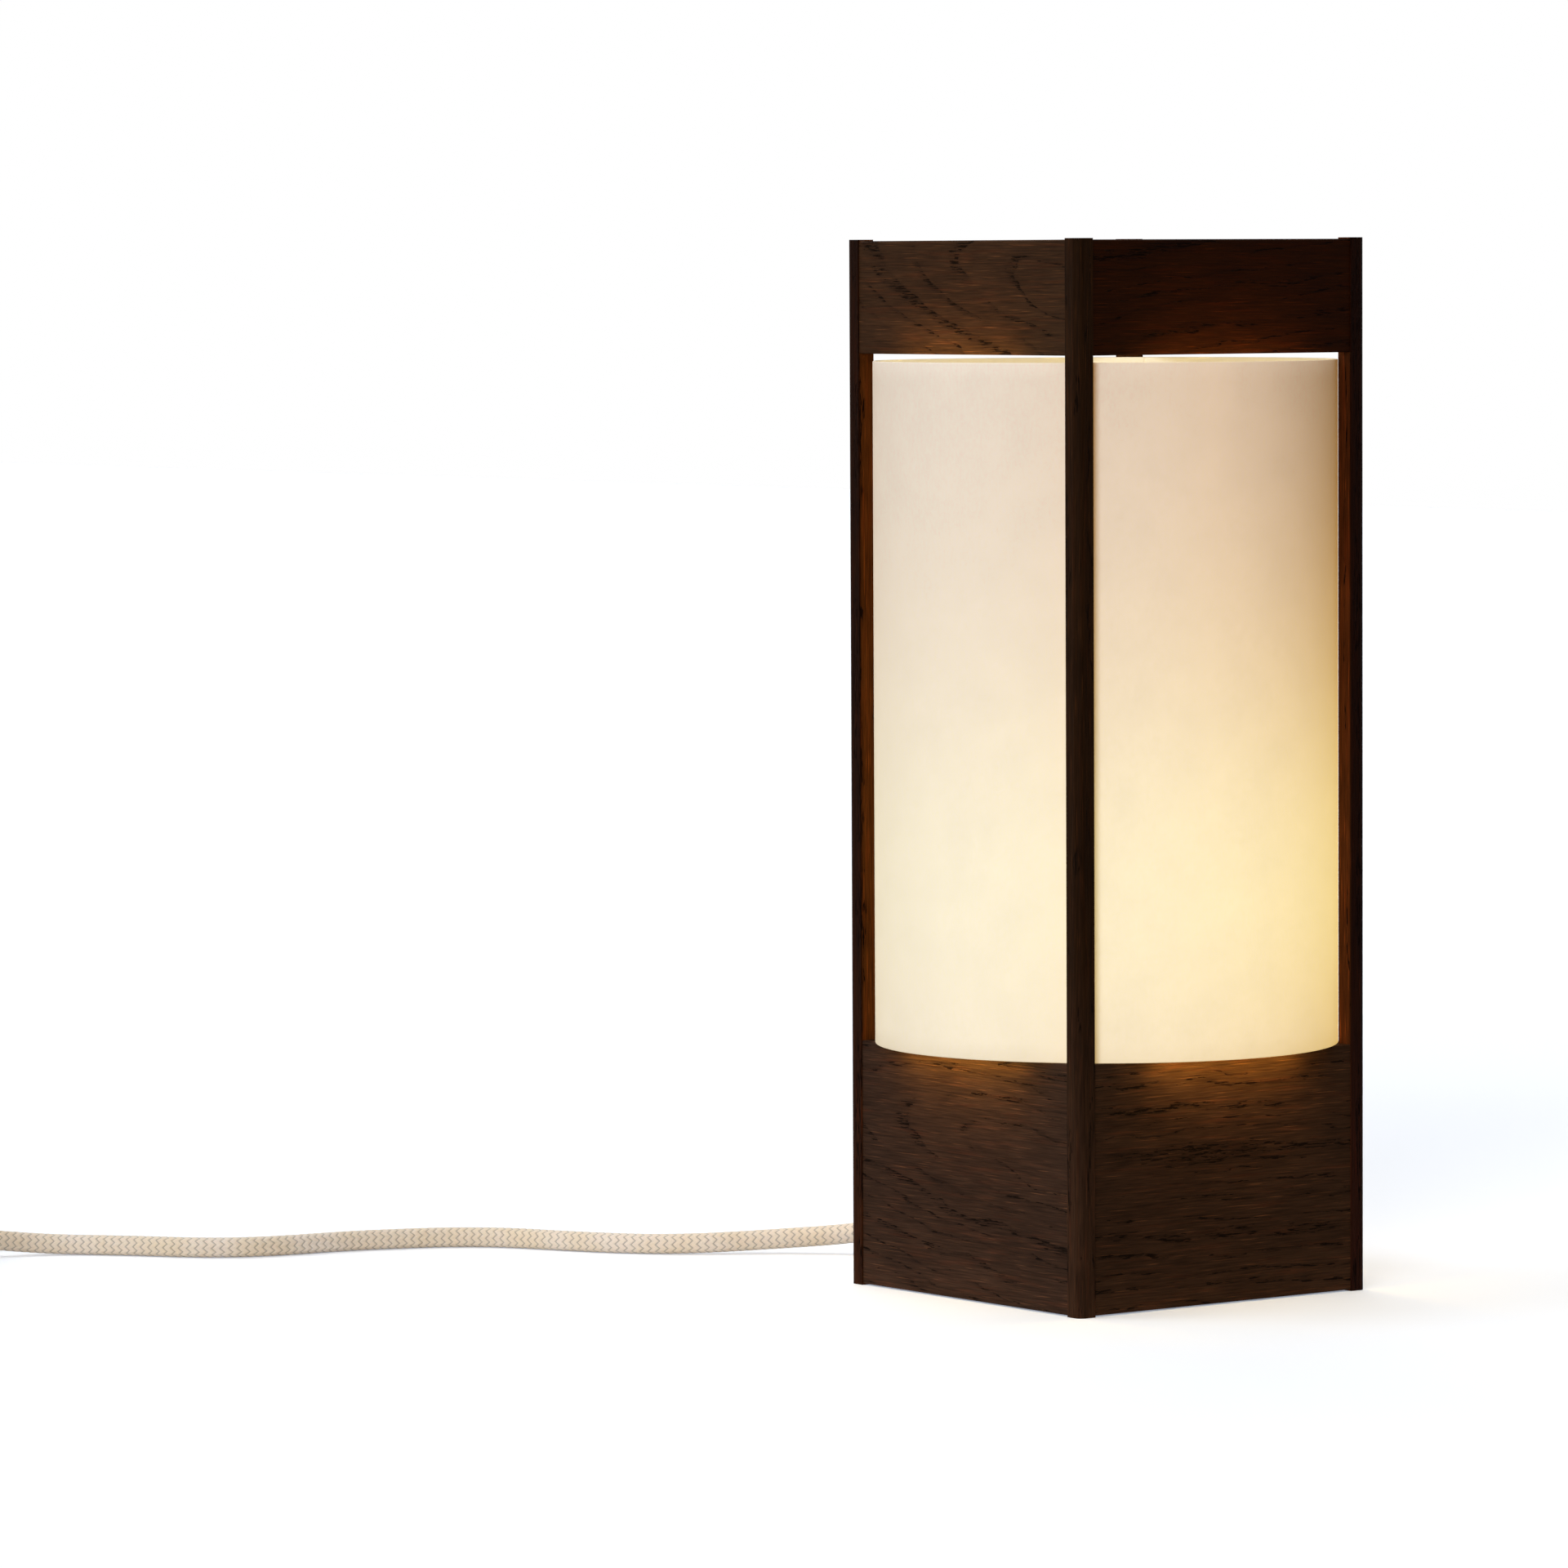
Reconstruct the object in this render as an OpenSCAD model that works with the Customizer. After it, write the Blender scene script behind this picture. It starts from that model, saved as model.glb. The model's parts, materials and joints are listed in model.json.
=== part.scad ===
// Andon table lamp: four slim posts and eight panels of stained ash trap a wider paper cylinder.
// Sizes are in millimetres, +Z is up, and the origin is on the table under the lamp's axis.
// The left and front faces are the -X and -Y ones, and the cord leaves through the back.

/* [Frame] */
// Width of the square frame over its posts
frame_w = 126.5; // [118:0.5:140]
// Height of the posts
post_h = 361; // [300:1:420]
// Side of a post's square section
post_w = 6.7; // [6:0.1:8]
// Radius of a post's outer arris
post_round = 2.8; // [1:0.1:3.5]
// Step from a post's faces and ends back to the panels
post_proud = 0.5; // [0.3:0.1:0.8]

/* [Panels] */
// Thickness of the panels
panel_t = 5; // [4:0.1:5.5]
// Height of the upper panels
upper_panel_h = 38.6; // [25:0.1:60]
// Height of the lower panels
lower_panel_h = 84.5; // [70:0.5:110]
// Chamfer that eases the long edges of a panel
panel_ease = 0.4; // [0.2:0.1:0.8]
// Thickness of the tongue on each end of a panel
tongue_t = 2; // [1.5:0.1:2.4]
// Distance of a tongue from its panel's upper and lower edges
tongue_inset = 4; // [2:0.5:8]
// Clearance round a tongue in its mortise
joint_fit = 0.1; // [0.05:0.05:0.15]
// Wood left between the two mortises of a post
mortise_web = 0.4; // [0.3:0.1:0.6]

/* [Shade] */
// Thickness of the paper laminate
shade_t = 0.5; // [0.4:0.1:0.8]
// Clearance from the shade to the posts' inner corners
shade_clear = 0.3; // [0.2:0.1:2]
// Gap from the shade's top to the upper panels
shade_gap = 2.4; // [1:0.1:4]
// Width of the glued lap behind the back post
lap_w = 12; // [8:1:16]

/* [Base] */
// Height of the bottom cover over the table
cover_z = 2; // [1:0.5:3]
// Thickness of the bottom cover
cover_t = 3; // [2.5:0.5:4]
// Side of a corner block
block_w = 13; // [11:0.5:15]
// Height of the corner blocks between the cover and the board
block_h = 27; // [25:0.5:30]
// Thickness of the board that carries the lampholder
board_t = 6; // [5:0.5:8]
// Clearance round the cover and the board
board_fit = 0.5; // [0.3:0.1:1]
// Length of the wood screws
screw_l = 13; // [11:0.5:13.5]
// Radius of a wood screw's shank
screw_r = 1.5; // [1.2:0.1:1.8]
// Radius of a wood screw's head
screw_head_r = 3; // [2.6:0.1:3.4]
// Clearance of a screw in its hole
screw_fit = 0.1; // [0.05:0.05:0.2]

/* [Lampholder] */
// Outer radius of the holder
holder_r = 19.5; // [19.5:0.5:22]
// Height of the holder
holder_h = 52; // [50:0.5:56]
// Height of the holder's lower cup
cup_h = 20; // [19:0.5:22]
// Wall of the cup
cup_wall = 2; // [1.6:0.1:2.4]
// Height of the collar where cup and skirt screw together
collar_h = 6; // [5:0.5:7]
// Thickness of the porcelain insert
insert_t = 8; // [6:0.5:9]
// Thickness of the brass shell that takes the bulb's thread
shell_t = 0.4; // [0.3:0.1:0.6]
// Height of the brass shell
shell_h = 20; // [16:0.5:22]
// Rise of the centre contact over the insert
contact_h = 2.7; // [2.2:0.1:3.5]
// Gap from the centre contact to the bulb's tip
contact_gap = 0.3; // [0.2:0.05:0.4]
// Radial clearance from the bulb's cap to the brass shell
cap_fit = 0.45; // [0.3:0.05:0.6]
// Clearance between the fixed parts of the holder
holder_fit = 0.2; // [0.1:0.05:0.3]

/* [Nipple] */
// Outer radius of the threaded tube through the board
nipple_r = 5; // [4.5:0.1:5.5]
// Bore radius of the threaded tube
nipple_bore_r = 4; // [3.5:0.1:4]
// Length of the threaded tube
nipple_l = 18; // [17.5:0.5:20]
// Width across the flats of the locknut
nut_w = 14; // [13:0.5:17]
// Thickness of the locknut
nut_t = 3; // [2.5:0.5:4]
// Radius of the washer over the locknut
washer_r = 9; // [8:0.5:11]
// Thickness of the washer
washer_t = 1; // [0.8:0.1:1.5]

/* [Bulb] */
// Height of the bulb from its tip to the top of the glass
bulb_h = 108; // [100:1:115]
// Radius of the glass globe
globe_r = 30; // [25:0.5:32]
// Radius of the glass neck
neck_r = 14.2; // [13.5:0.1:14.8]
// Radius of the hollow curve from the neck to the globe
neck_curve = 40; // [30:1:60]
// Wall of the glass
glass_t = 1; // [0.8:0.1:1.5]
// Outer radius of the bulb's screw cap
cap_r = 13.2; // [13:0.05:13.4]
// Height of the bulb's screw cap and tip
cap_h = 26; // [24:0.5:28]
// Radius of the tip contact
tip_r = 4.5; // [4:0.1:5]

/* [Cord] */
// Diameter of the braided cord
cord_d = 7.2; // [6:0.1:7.4]
// Height of the cord's hole over the table
exit_z = 13; // [12.5:0.1:16]
// Radius of the strain relief where it passes the panel
relief_r = 5.5; // [5.2:0.1:6]
// Radius of the strain relief's flanges
flange_r = 7; // [6.6:0.1:7.4]
// Thickness of the strain relief's flanges
flange_t = 1.5; // [1.2:0.1:2]
// Length of the strain relief outside the panel
relief_l = 26; // [20:0.5:26]
// Radius of the strain relief at its tip
relief_tip_r = 4.8; // [4.5:0.1:5]
// Clearance from the cord to what goes round it
cord_fit = 0.15; // [0.1:0.05:0.2]
// Length of the stop collar that grips the cord inside
stop_l = 8; // [6:0.5:10]
// Radius of the stop collar
stop_r = 7.5; // [7:0.1:7.8]
// Length of the cord's sleeve past the stop collar
sleeve_end = 6; // [4:0.5:8]
// Radius of an inner wire with its insulation
wire_r = 1.25; // [1:0.05:1.4]
// Distance from each inner wire to the lamp's middle plane
wire_x = 2; // [1.8:0.05:2.2]
// Radius of the inner wires' bend
wire_bend_r = 9; // [7:0.5:9.5]

/* [Coil] */
// Radius of the coil's innermost turn
coil_in_r = 29.3; // [29:0.1:32]
// Spacing of the turns, across and up
coil_pitch = 7.8; // [7.8:0.05:8.5]
// Turns of cord in the coil
coil_turns = 5.25; // [3.25:1:7.25]
// Width of the strap round the coil
tie_w = 10; // [8:0.5:12]
// Thickness of the strap
tie_t = 0.6; // [0.5:0.1:0.8]

/* [Switch] */
// Length of the switch
switch_l = 64; // [60:1:72]
// Width of the switch at its middle
switch_w = 27; // [25:0.5:30]
// Width of the switch at its ends
switch_end_w = 12; // [11:0.5:14]
// Height of the switch
switch_h = 17; // [16:0.5:20]
// Depth of the cord's bore in each end of the switch
switch_bore = 8; // [6:0.5:10]
// Length of the rocker
rocker_l = 17.4; // [15:0.1:19]
// Width of the rocker
rocker_w = 10; // [8:0.1:11]
// Tilt of the rocker from level to each stop
rocker_tilt = 7; // [5:0.5:8]
// Running clearance of the rocker's pivot
pivot_fit = 0.06; // [0.03:0.01:0.08]

/* [Plug] */
// Width of the plug over its widest part
plug_w = 35.3; // [34:0.1:37]
// Thickness of the plug
plug_t = 13.7; // [13:0.1:15]
// Length of the plug's body
plug_l = 36; // [33:0.5:40]
// Length of the plug's bend relief
boot_l = 16; // [14:0.5:20]
// Distance between the pins
pin_space = 18.6; // [17.5:0.1:19]
// Length of the pins
pin_l = 19; // [18:0.1:19]
// Radius of the pins
pin_r = 2; // [1.9:0.05:2.1]

/* [Hidden] */
$fn = 64;
arc_steps = 10;
eps = 0.01;

half_w = frame_w / 2;
post_in = half_w - post_w;
panel_out = half_w - post_proud;
panel_in = panel_out - panel_t;
panel_z = post_proud;
tongue_y = post_proud + panel_t / 2 - tongue_t / 2;
tongue_l = post_w - tongue_y - tongue_t - 2 * joint_fit - mortise_web;
upper_z = post_h - post_proud - upper_panel_h;
shade_z = panel_z + lower_panel_h;
shade_h = upper_z - shade_gap - shade_z;
shade_r = sqrt(2) * post_in - shade_clear;

block_z = cover_z + cover_t;
board_z = block_z + block_h;
board_top = board_z + board_t;
block_mid = panel_in - block_w / 2;

collar_r = holder_r - cup_wall;
ledge_z = board_top + cup_h - insert_t;
insert_top = board_top + cup_h;
insert_r = collar_r - cup_wall;
cup_floor = 4;
shell_in_r = cap_r + cap_fit;
bulb_z = insert_top + contact_h + contact_gap;
bulb_tip_h = 1.2;
bulb_insulator_top = 4;
nipple_tail = 2;
nipple_z = board_z - washer_t - nut_t - nipple_tail;
terminal_h = 2.5;
terminal_l = 7;
terminal_w = 5;
terminal_gap = 0.8;

cord_r = cord_d / 2;
relief_tip = panel_out + relief_l;
stop_y = panel_in - flange_t - stop_l;
sleeve_y = stop_y - sleeve_end;
stop_slit = 1;
stop_ear_w = 9;
stop_ear_h = 5;
stop_screw_r = 1.4;
stop_screw_rise = stop_r + stop_ear_h / 2 - 0.3;

// The lead runs straight out of the strain relief, sags to the table and wanders to the switch
lead_route = [
  [0, relief_tip, exit_z], [0, 98, 13], [-2, 110, 11.5], [-7, 122, 9], [-16, 134, 6.9],
  [-27, 145, 5.6], [-40, 155, 4.6], [-54, 164, 4], [-67, 175, 3.7], [-78, 189, 3.7],
  [-87, 205, 3.7], [-96, 222, 3.7], [-110, 236, 3.7], [-128, 245, 3.7], [-147, 251, 3.7],
  [-167, 254, 3.7], [-185, 259, 3.7], [-200, 270, 3.7], [-212, 285, 3.7], [-224, 299, 3.7],
  [-238, 311, 4.2], [-254, 318, 5.9], [-268, 320, 7], [-276, 320, 7]
];
lead_end = lead_route[len(lead_route) - 1];
switch_z = lead_end[2];
switch_mid = [lead_end[0] + switch_bore - switch_l / 2, lead_end[1]];
switch_split = switch_z;
switch_neck_r = cord_r + cord_fit;
pocket_depth = 7.5;
pivot_depth = 3.2;
pivot_z = switch_h - pivot_depth;
pivot_r = 1.2;
pivot_stub = 1.2;
pivot_end_play = 0.2;
rocker_gap = 0.35;
switch_screw_x = 17.5;
switch_screw_l = 11;
switch_screw_r = 1.2;
switch_screw_head_r = 2.4;

// The cord leaves the switch, winds in on the lower layer, climbs and winds out on the upper one
coil_run = 30;
coil_low_z = tie_t + 0.4 + cord_r;
coil_half = coil_turns / 2;
coil_soften = 0.1;
coil_out_r = coil_in_r + coil_pitch * (sqrt(coil_half ^ 2 + coil_soften ^ 2) - coil_soften);
coil_start = [switch_mid[0] - switch_l / 2 + switch_bore, switch_mid[1], switch_z];
coil_mid = [switch_mid[0] - switch_l / 2 - coil_run, switch_mid[1] - coil_out_r];
tail_flat = 10;
tail_drop = 30;
tail_straight = cord_d + 2;
tail_end = [coil_mid[0] - coil_out_r, coil_mid[1] - tail_flat - tail_drop - tail_straight, plug_t / 2];
boot_bore = 8;
plug_face = tail_end[1] + boot_bore - boot_l - plug_l;
plug_x = tail_end[0];

function unit(v) = v / norm(v);
function heading(path, i) = unit(path[min(i + 1, len(path) - 1)] - path[max(i - 1, 0)]);
function ease(s) = s * s * (3 - 2 * s);
function path_length(path, i = 1) =
  i < len(path) ? norm(path[i] - path[i - 1]) + path_length(path, i + 1) : 0;

// Distance of the coil's centreline from the coil's axis after t turns
function coil_r(t) = coil_in_r
  + coil_pitch * (sqrt((t - coil_half) ^ 2 + coil_soften ^ 2) - coil_soften);
// Height of the coil's centreline: one layer's climb in the half turn where it reverses
function coil_z(t) = coil_low_z + coil_pitch * ease(min(1, max(0, (t - coil_half) / 0.5 + 0.5)));
coil_points = [for (k = [0:24 * coil_turns])
  let (t = k / 24, a = 90 + 360 * t)
  [coil_mid[0] + coil_r(t) * cos(a), coil_mid[1] + coil_r(t) * sin(a), coil_z(t)]];
coil_steps = 4;
coil_route = concat(
  [coil_start],
  [for (k = [0:coil_steps - 1])
    let (s = k / coil_steps)
    [coil_start[0] - switch_bore - coil_run * s, coil_start[1],
      switch_z + (coil_low_z - switch_z) * ease(s)]],
  coil_points,
  [for (k = [0:coil_steps])
    let (s = k / coil_steps, top = coil_low_z + coil_pitch)
    [tail_end[0], coil_mid[1] - tail_flat - tail_drop * s, top + (tail_end[2] - top) * ease(s)]],
  [tail_end]
);
// Least gap of the coiled tube to itself, over points at least a third of a turn apart
coil_gap = min([for (i = [0:len(coil_route) - 9], j = [i + 8:len(coil_route) - 1])
  norm(coil_route[i] - coil_route[j])]) - cord_d;
echo(coil_gap = coil_gap, coil_length = path_length(coil_route), lead_length = path_length(lead_route));  // cord_coil

wood = "#3a251c";
wood_dark = "#2a1a12";
ply = "#b58f62";
paper = "#f3e4c6";
cotton = "#e9dfc8";
black = "#1d1b1a";
brass = "#c9a24d";
steel = "#b9bbbd";
porcelain = "#f1efe9";
opal = "#fffaf0";
cream = "#efe6d2";

// Puts what is drawn for the front left corner at another corner
module at_corner(right, back) {
  mirror([right ? 1 : 0, 0, 0]) mirror([0, back ? 1 : 0, 0]) children();
}

// One closed tube of flat-sided rings, each square to the path
module tube(path, r, sides) {
  last = len(path) - 1;
  rings = [for (i = [0:last])
    let (t = heading(path, i), side = unit(cross(t, [0, 0, 1])), up = cross(side, t))
    for (k = [0:sides - 1])
      let (a = (k + 0.5) * 360 / sides)
      path[i] + r * (cos(a) * side + sin(a) * up)];
  walls = [for (i = [0:last - 1], k = [0:sides - 1])
    let (a = i * sides + k, b = i * sides + (k + 1) % sides)
    each [[a, a + sides, b], [b, a + sides, b + sides]]];
  start_cap = [for (k = [1:sides - 2]) [0, k, k + 1]];
  end_cap = [for (k = [1:sides - 2]) [last * sides, last * sides + k + 1, last * sides + k]];
  polyhedron(points = rings, faces = concat(walls, start_cap, end_cap));
}

// A countersunk wood screw, head up, with its top at z = 0
module wood_screw(length, r, head_r) {
  head_t = head_r - r;
  slot_w = 0.7;
  difference() {
    union() {
      translate([0, 0, -head_t]) cylinder(h = head_t, r1 = r, r2 = head_r);
      translate([0, 0, -length + r]) cylinder(h = length - r - head_t + eps, r = r);
      translate([0, 0, -length]) cylinder(h = r + eps, r1 = 0.2, r2 = r);
    }
    for (turn = [0, 90]) rotate([0, 0, turn]) translate([-head_r * 0.55, -slot_w / 2, -head_t * 0.6])
      cube([head_r * 1.1, slot_w, head_t]);
  }
}

// The hole for such a screw, open above its head
module screw_hole(length, r, head_r, fit) {
  head_t = head_r - r;
  translate([0, 0, -length - fit]) cylinder(h = length + fit + eps, r = r + fit);
  translate([0, 0, -head_t]) cylinder(h = head_t + fit, r1 = r + fit, r2 = head_r + 2 * fit);
}

// A square plate of the inner width, notched for the posts' inner corners
module inner_plate(z, t) {
  size = panel_in - board_fit;
  notch = post_in - board_fit;
  difference() {
    translate([-size, -size, z]) cube([2 * size, 2 * size, t]);
    for (right = [false, true], back = [false, true]) at_corner(right, back)
      translate([-half_w, -half_w, z - 1]) cube([half_w - notch, half_w - notch, t + 2]);
  }
}

module each_block() {
  for (right = [false, true], back = [false, true]) at_corner(right, back)
    translate([-block_mid, -block_mid, 0]) children();
}

// A post: square section with its outer arris rounded, and four stopped mortises
module post(right, back) {
  color(wood) at_corner(right, back) difference() {
    translate([-half_w, -half_w, 0]) linear_extrude(post_h) {
      translate([post_round, 0]) square([post_w - post_round, post_w]);
      translate([0, post_round]) square([post_w, post_w - post_round]);
      translate([post_round, post_round]) circle(post_round);
    }
    for (span = [[panel_z, lower_panel_h], [upper_z, upper_panel_h]]) {
      z = span[0] + tongue_inset - joint_fit;
      h = span[1] - 2 * tongue_inset + 2 * joint_fit;
      depth = tongue_l + joint_fit;
      width = tongue_t + 2 * joint_fit;
      offset_in = tongue_y - joint_fit - half_w;
      translate([-post_in - depth, offset_in, z]) cube([depth + 1, width, h]);
      translate([offset_in, -post_in - depth, z]) cube([width, depth + 1, h]);
    }
  }
}

// A panel between two posts, drawn for the front, with a tongue on each end
module panel_board(z, h) {
  e = panel_ease;
  section = [[0, e], [e, 0], [panel_t - e, 0], [panel_t, e],
    [panel_t, h - e], [panel_t - e, h], [e, h], [0, h - e]];
  translate([-post_in, -panel_out, z]) rotate([90, 0, 90]) linear_extrude(2 * post_in) polygon(section);
  translate([-post_in - tongue_l, tongue_y - half_w, z + tongue_inset])
    cube([2 * post_in + 2 * tongue_l, tongue_t, h - 2 * tongue_inset]);
}

module lower_panel(turn) {
  color(wood) rotate([0, 0, turn]) panel_board(panel_z, lower_panel_h);
}

module upper_panel(turn) {
  color(wood) rotate([0, 0, turn]) panel_board(upper_z, upper_panel_h);
}

// The back lower panel has the cord's hole
module lower_panel_back() {
  color(wood) difference() {
    rotate([0, 0, 180]) panel_board(panel_z, lower_panel_h);
    translate([0, panel_in - 1, exit_z]) rotate([-90, 0, 0])
      cylinder(h = panel_t + 2, r = relief_r + cord_fit);
  }
}

// The rolled paper laminate, with its glued lap inside, behind the back right post.
// The lap is drawn half a wall into the outer turn, so that the two are one sheet all along it.
module shade() {
  lap_turn = lap_w / shade_r * 180 / PI;
  lap_seat = shade_t / 2;
  color(paper) translate([0, 0, shade_z]) {
    rotate_extrude($fn = 128) translate([shade_r - shade_t, 0]) square([shade_t, shade_h]);
    rotate([0, 0, 45 - lap_turn / 2]) rotate_extrude(angle = lap_turn, $fn = 128)
      translate([shade_r - 2 * shade_t, 0]) square([shade_t + lap_seat, shade_h]);
  }
}

module corner_block(right, back) {
  color(ply) at_corner(right, back) difference() {
    translate([-panel_in, -panel_in, block_z]) cube([block_w, block_w, block_h]);
    translate([-half_w, -half_w, block_z - 1])
      cube([post_w + joint_fit, post_w + joint_fit, block_h + 2]);
    translate([-block_mid, -block_mid, board_top])
      screw_hole(screw_l + board_t, screw_r, screw_head_r, screw_fit);
    translate([-block_mid, -block_mid, cover_z]) mirror([0, 0, 1])
      screw_hole(screw_l, screw_r, screw_head_r, screw_fit);
  }
}

module base_board() {
  color(ply) difference() {
    inner_plate(board_z, board_t);
    translate([0, 0, board_z - 1]) cylinder(h = board_t + 2, r = nipple_r + screw_fit);
    each_block() translate([0, 0, board_top]) screw_hole(screw_l, screw_r, screw_head_r, screw_fit);
  }
}

module bottom_cover() {
  color(wood_dark) difference() {
    inner_plate(cover_z, cover_t);
    each_block() translate([0, 0, cover_z]) mirror([0, 0, 1])
      screw_hole(screw_l, screw_r, screw_head_r, screw_fit);
  }
}

module board_screws() {
  color(steel) each_block() translate([0, 0, board_top]) wood_screw(screw_l + board_t, screw_r, screw_head_r);
}

module cover_screws() {
  color(steel) each_block() translate([0, 0, cover_z]) mirror([0, 0, 1])
    wood_screw(screw_l, screw_r, screw_head_r);
}

module nipple() {
  color(brass) translate([0, 0, nipple_z]) difference() {
    cylinder(h = nipple_l, r = nipple_r);
    translate([0, 0, -1]) cylinder(h = nipple_l + 2, r = nipple_bore_r);
  }
}

module nipple_washer() {
  color(steel) translate([0, 0, board_z - washer_t]) difference() {
    cylinder(h = washer_t, r = washer_r);
    translate([0, 0, -1]) cylinder(h = washer_t + 2, r = nipple_r + screw_fit);
  }
}

module nipple_nut() {
  color(brass) translate([0, 0, board_z - washer_t - nut_t]) difference() {
    cylinder(h = nut_t, r = nut_w / sqrt(3), $fn = 6);
    translate([0, 0, -1]) cylinder(h = nut_t + 2, r = nipple_r + screw_fit);
  }
}

// The holder's lower cup: a stepped bowl with a screw collar and a ledge for the insert
module holder_cup() {
  foot = 3;
  color(black) translate([0, 0, board_top]) rotate_extrude() polygon([
    [nipple_r + screw_fit, 0], [holder_r - foot, 0], [holder_r, foot],
    [holder_r, cup_h - collar_h], [collar_r, cup_h - collar_h], [collar_r, cup_h],
    [insert_r + holder_fit, cup_h], [insert_r + holder_fit, cup_h - insert_t],
    [insert_r - cup_wall, cup_h - insert_t], [insert_r - cup_wall, cup_floor],
    [nipple_r + screw_fit, cup_floor]
  ]);
}

module holder_insert() {
  rim = 1.5;
  color(porcelain) translate([0, 0, ledge_z]) difference() {
    union() {
      cylinder(h = insert_t - rim, r = insert_r);
      cylinder(h = insert_t, r = insert_r - rim);
    }
    translate([0, -insert_r, -1]) cube([insert_r * 2, 3, 3], center = true);
  }
}

// Two brass blocks under the insert take the wires' ends
module holder_terminals() {
  color(brass) for (side = [-1, 1])
    translate([side * (terminal_gap + terminal_l) / 2, 0, ledge_z - terminal_h / 2])
      cube([terminal_l, terminal_w, terminal_h], center = true);
}

// The brass shell stands on the insert and takes the bulb's thread
module holder_shell() {
  color(brass) translate([0, 0, insert_top]) difference() {
    cylinder(h = shell_h, r = shell_in_r + shell_t);
    translate([0, 0, -1]) cylinder(h = shell_h + 2, r = shell_in_r);
  }
}

// A sprung brass tongue, bent up under the bulb's tip
module holder_contact() {
  leaf_t = 0.6;
  leaf_w = 6;
  foot_l = 5;
  rise = contact_h - leaf_t;
  color(brass) translate([0, leaf_w / 2, insert_top]) rotate([90, 0, 0]) linear_extrude(leaf_w) polygon([
    [-shell_in_r + 3, 0], [-foot_l, 0], [-2, rise], [3, rise], [5, rise - 1],
    [5, rise - 1 + leaf_t], [3, contact_h], [-2, contact_h], [-foot_l - 0.4, leaf_t],
    [-shell_in_r + 3, leaf_t]
  ]);
}

// The outer skirt screws on the cup's collar, holds the shell and flares round the glass
module holder_skirt() {
  bottom = cup_h - collar_h;
  bore_r = shell_in_r + shell_t + holder_fit;
  mouth_r = neck_r + 2.8;
  lip = 1.2;
  color(black) translate([0, 0, board_top]) rotate_extrude() polygon([
    [collar_r + holder_fit, bottom], [holder_r, bottom], [holder_r, holder_h - lip - 6],
    [holder_r + 0.8, holder_h - lip - 4], [holder_r + 0.8, holder_h - lip], [holder_r - lip, holder_h],
    [mouth_r, holder_h], [bore_r, cup_h + shell_h + 3],
    [bore_r, cup_h + holder_fit], [collar_r + holder_fit, cup_h + holder_fit]
  ]);
}

// Points of an arc: centre x and y, radius, and the angles of its ends
function arc(x, y, r, from, to) = [for (k = [0:arc_steps])
  let (a = from + (to - from) * k / arc_steps)
  [x + r * cos(a), y + r * sin(a)]];

// Half outline of the glass: a straight neck, a hollow curve and a round globe, inset by a wall
function glass_outline(inset) =
  let (g = globe_r - inset, n = neck_r - inset, c = neck_curve + inset,
    reach = n + c, drop = sqrt((g + c) ^ 2 - reach ^ 2), globe_z = bulb_h - globe_r,
    a = atan2(drop, reach))
  concat([[n, cap_h]], arc(reach, globe_z - drop, c, 180, 180 - a), arc(0, globe_z, g, -a, 90));

module bulb_glass() {
  outer = glass_outline(0);
  inner = glass_outline(glass_t);
  color(opal) translate([0, 0, bulb_z]) rotate_extrude($fn = 96)
    polygon(concat(outer, [for (i = [len(inner) - 1:-1:0]) inner[i]]));
}

// The screw cap narrows to the insulator below and widens to a skirt round the glass above
module bulb_cap() {
  skirt_h = 4;
  bevel = 1.5;
  rim_h = 1;
  rim_r = neck_r - 0.4;
  color(steel) translate([0, 0, bulb_z]) rotate_extrude() polygon([
    [0, bulb_insulator_top], [cap_r - bevel, bulb_insulator_top], [cap_r, bulb_insulator_top + bevel],
    [cap_r, cap_h - skirt_h], [rim_r, cap_h - rim_h], [rim_r, cap_h], [0, cap_h]
  ]);
}

module bulb_insulator() {
  foot_r = tip_r + 0.5;
  top_r = cap_r - 2;
  color(black) translate([0, 0, bulb_z]) rotate_extrude() polygon([
    [0, bulb_tip_h], [foot_r, bulb_tip_h], [top_r, bulb_insulator_top], [0, bulb_insulator_top]
  ]);
}

module bulb_tip() {
  crown = 1.5;
  color(steel) translate([0, 0, bulb_z]) rotate_extrude() polygon([
    [0, 0], [tip_r - crown, 0], [tip_r, bulb_tip_h / 2], [tip_r, bulb_tip_h], [0, bulb_tip_h]
  ]);
}

// Draws along +Y from the back panel's outer face, on the cord's exit line
module on_exit() {
  translate([0, panel_out, exit_z]) rotate([-90, 0, 0]) children();
}

// Rubber sleeve: an inner flange, a waist in the panel, an outer flange and a ringed tail
module strain_relief() {
  rings = 4;
  neck = relief_r + 0.7;
  step = (relief_l - flange_t - 3) / rings;
  groove = 0.6;
  bore_r = cord_r + cord_fit;
  tail = [for (k = [0:rings - 1])
    let (z = flange_t + 1 + k * step, r = neck + (relief_tip_r - neck) * k / rings)
    each [[r, z], [r - 0.1, z + step * 0.6], [r - groove, z + step * 0.62], [r - groove, z + step * 0.98]]];
  color(black) on_exit() rotate_extrude() polygon(concat(
    [[bore_r, -panel_t - flange_t], [flange_r, -panel_t - flange_t], [flange_r, -panel_t],
      [relief_r, -panel_t], [relief_r, 0], [flange_r, 0], [flange_r, flange_t]],
    tail,
    [[relief_tip_r, relief_l - 1.5], [relief_tip_r, relief_l], [bore_r, relief_l]]
  ));
}

module cord_inner() {
  color(cotton) translate([0, sleeve_y, exit_z]) rotate([-90, 0, 0])
    cylinder(h = relief_tip - sleeve_y, r = cord_r);
}

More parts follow.
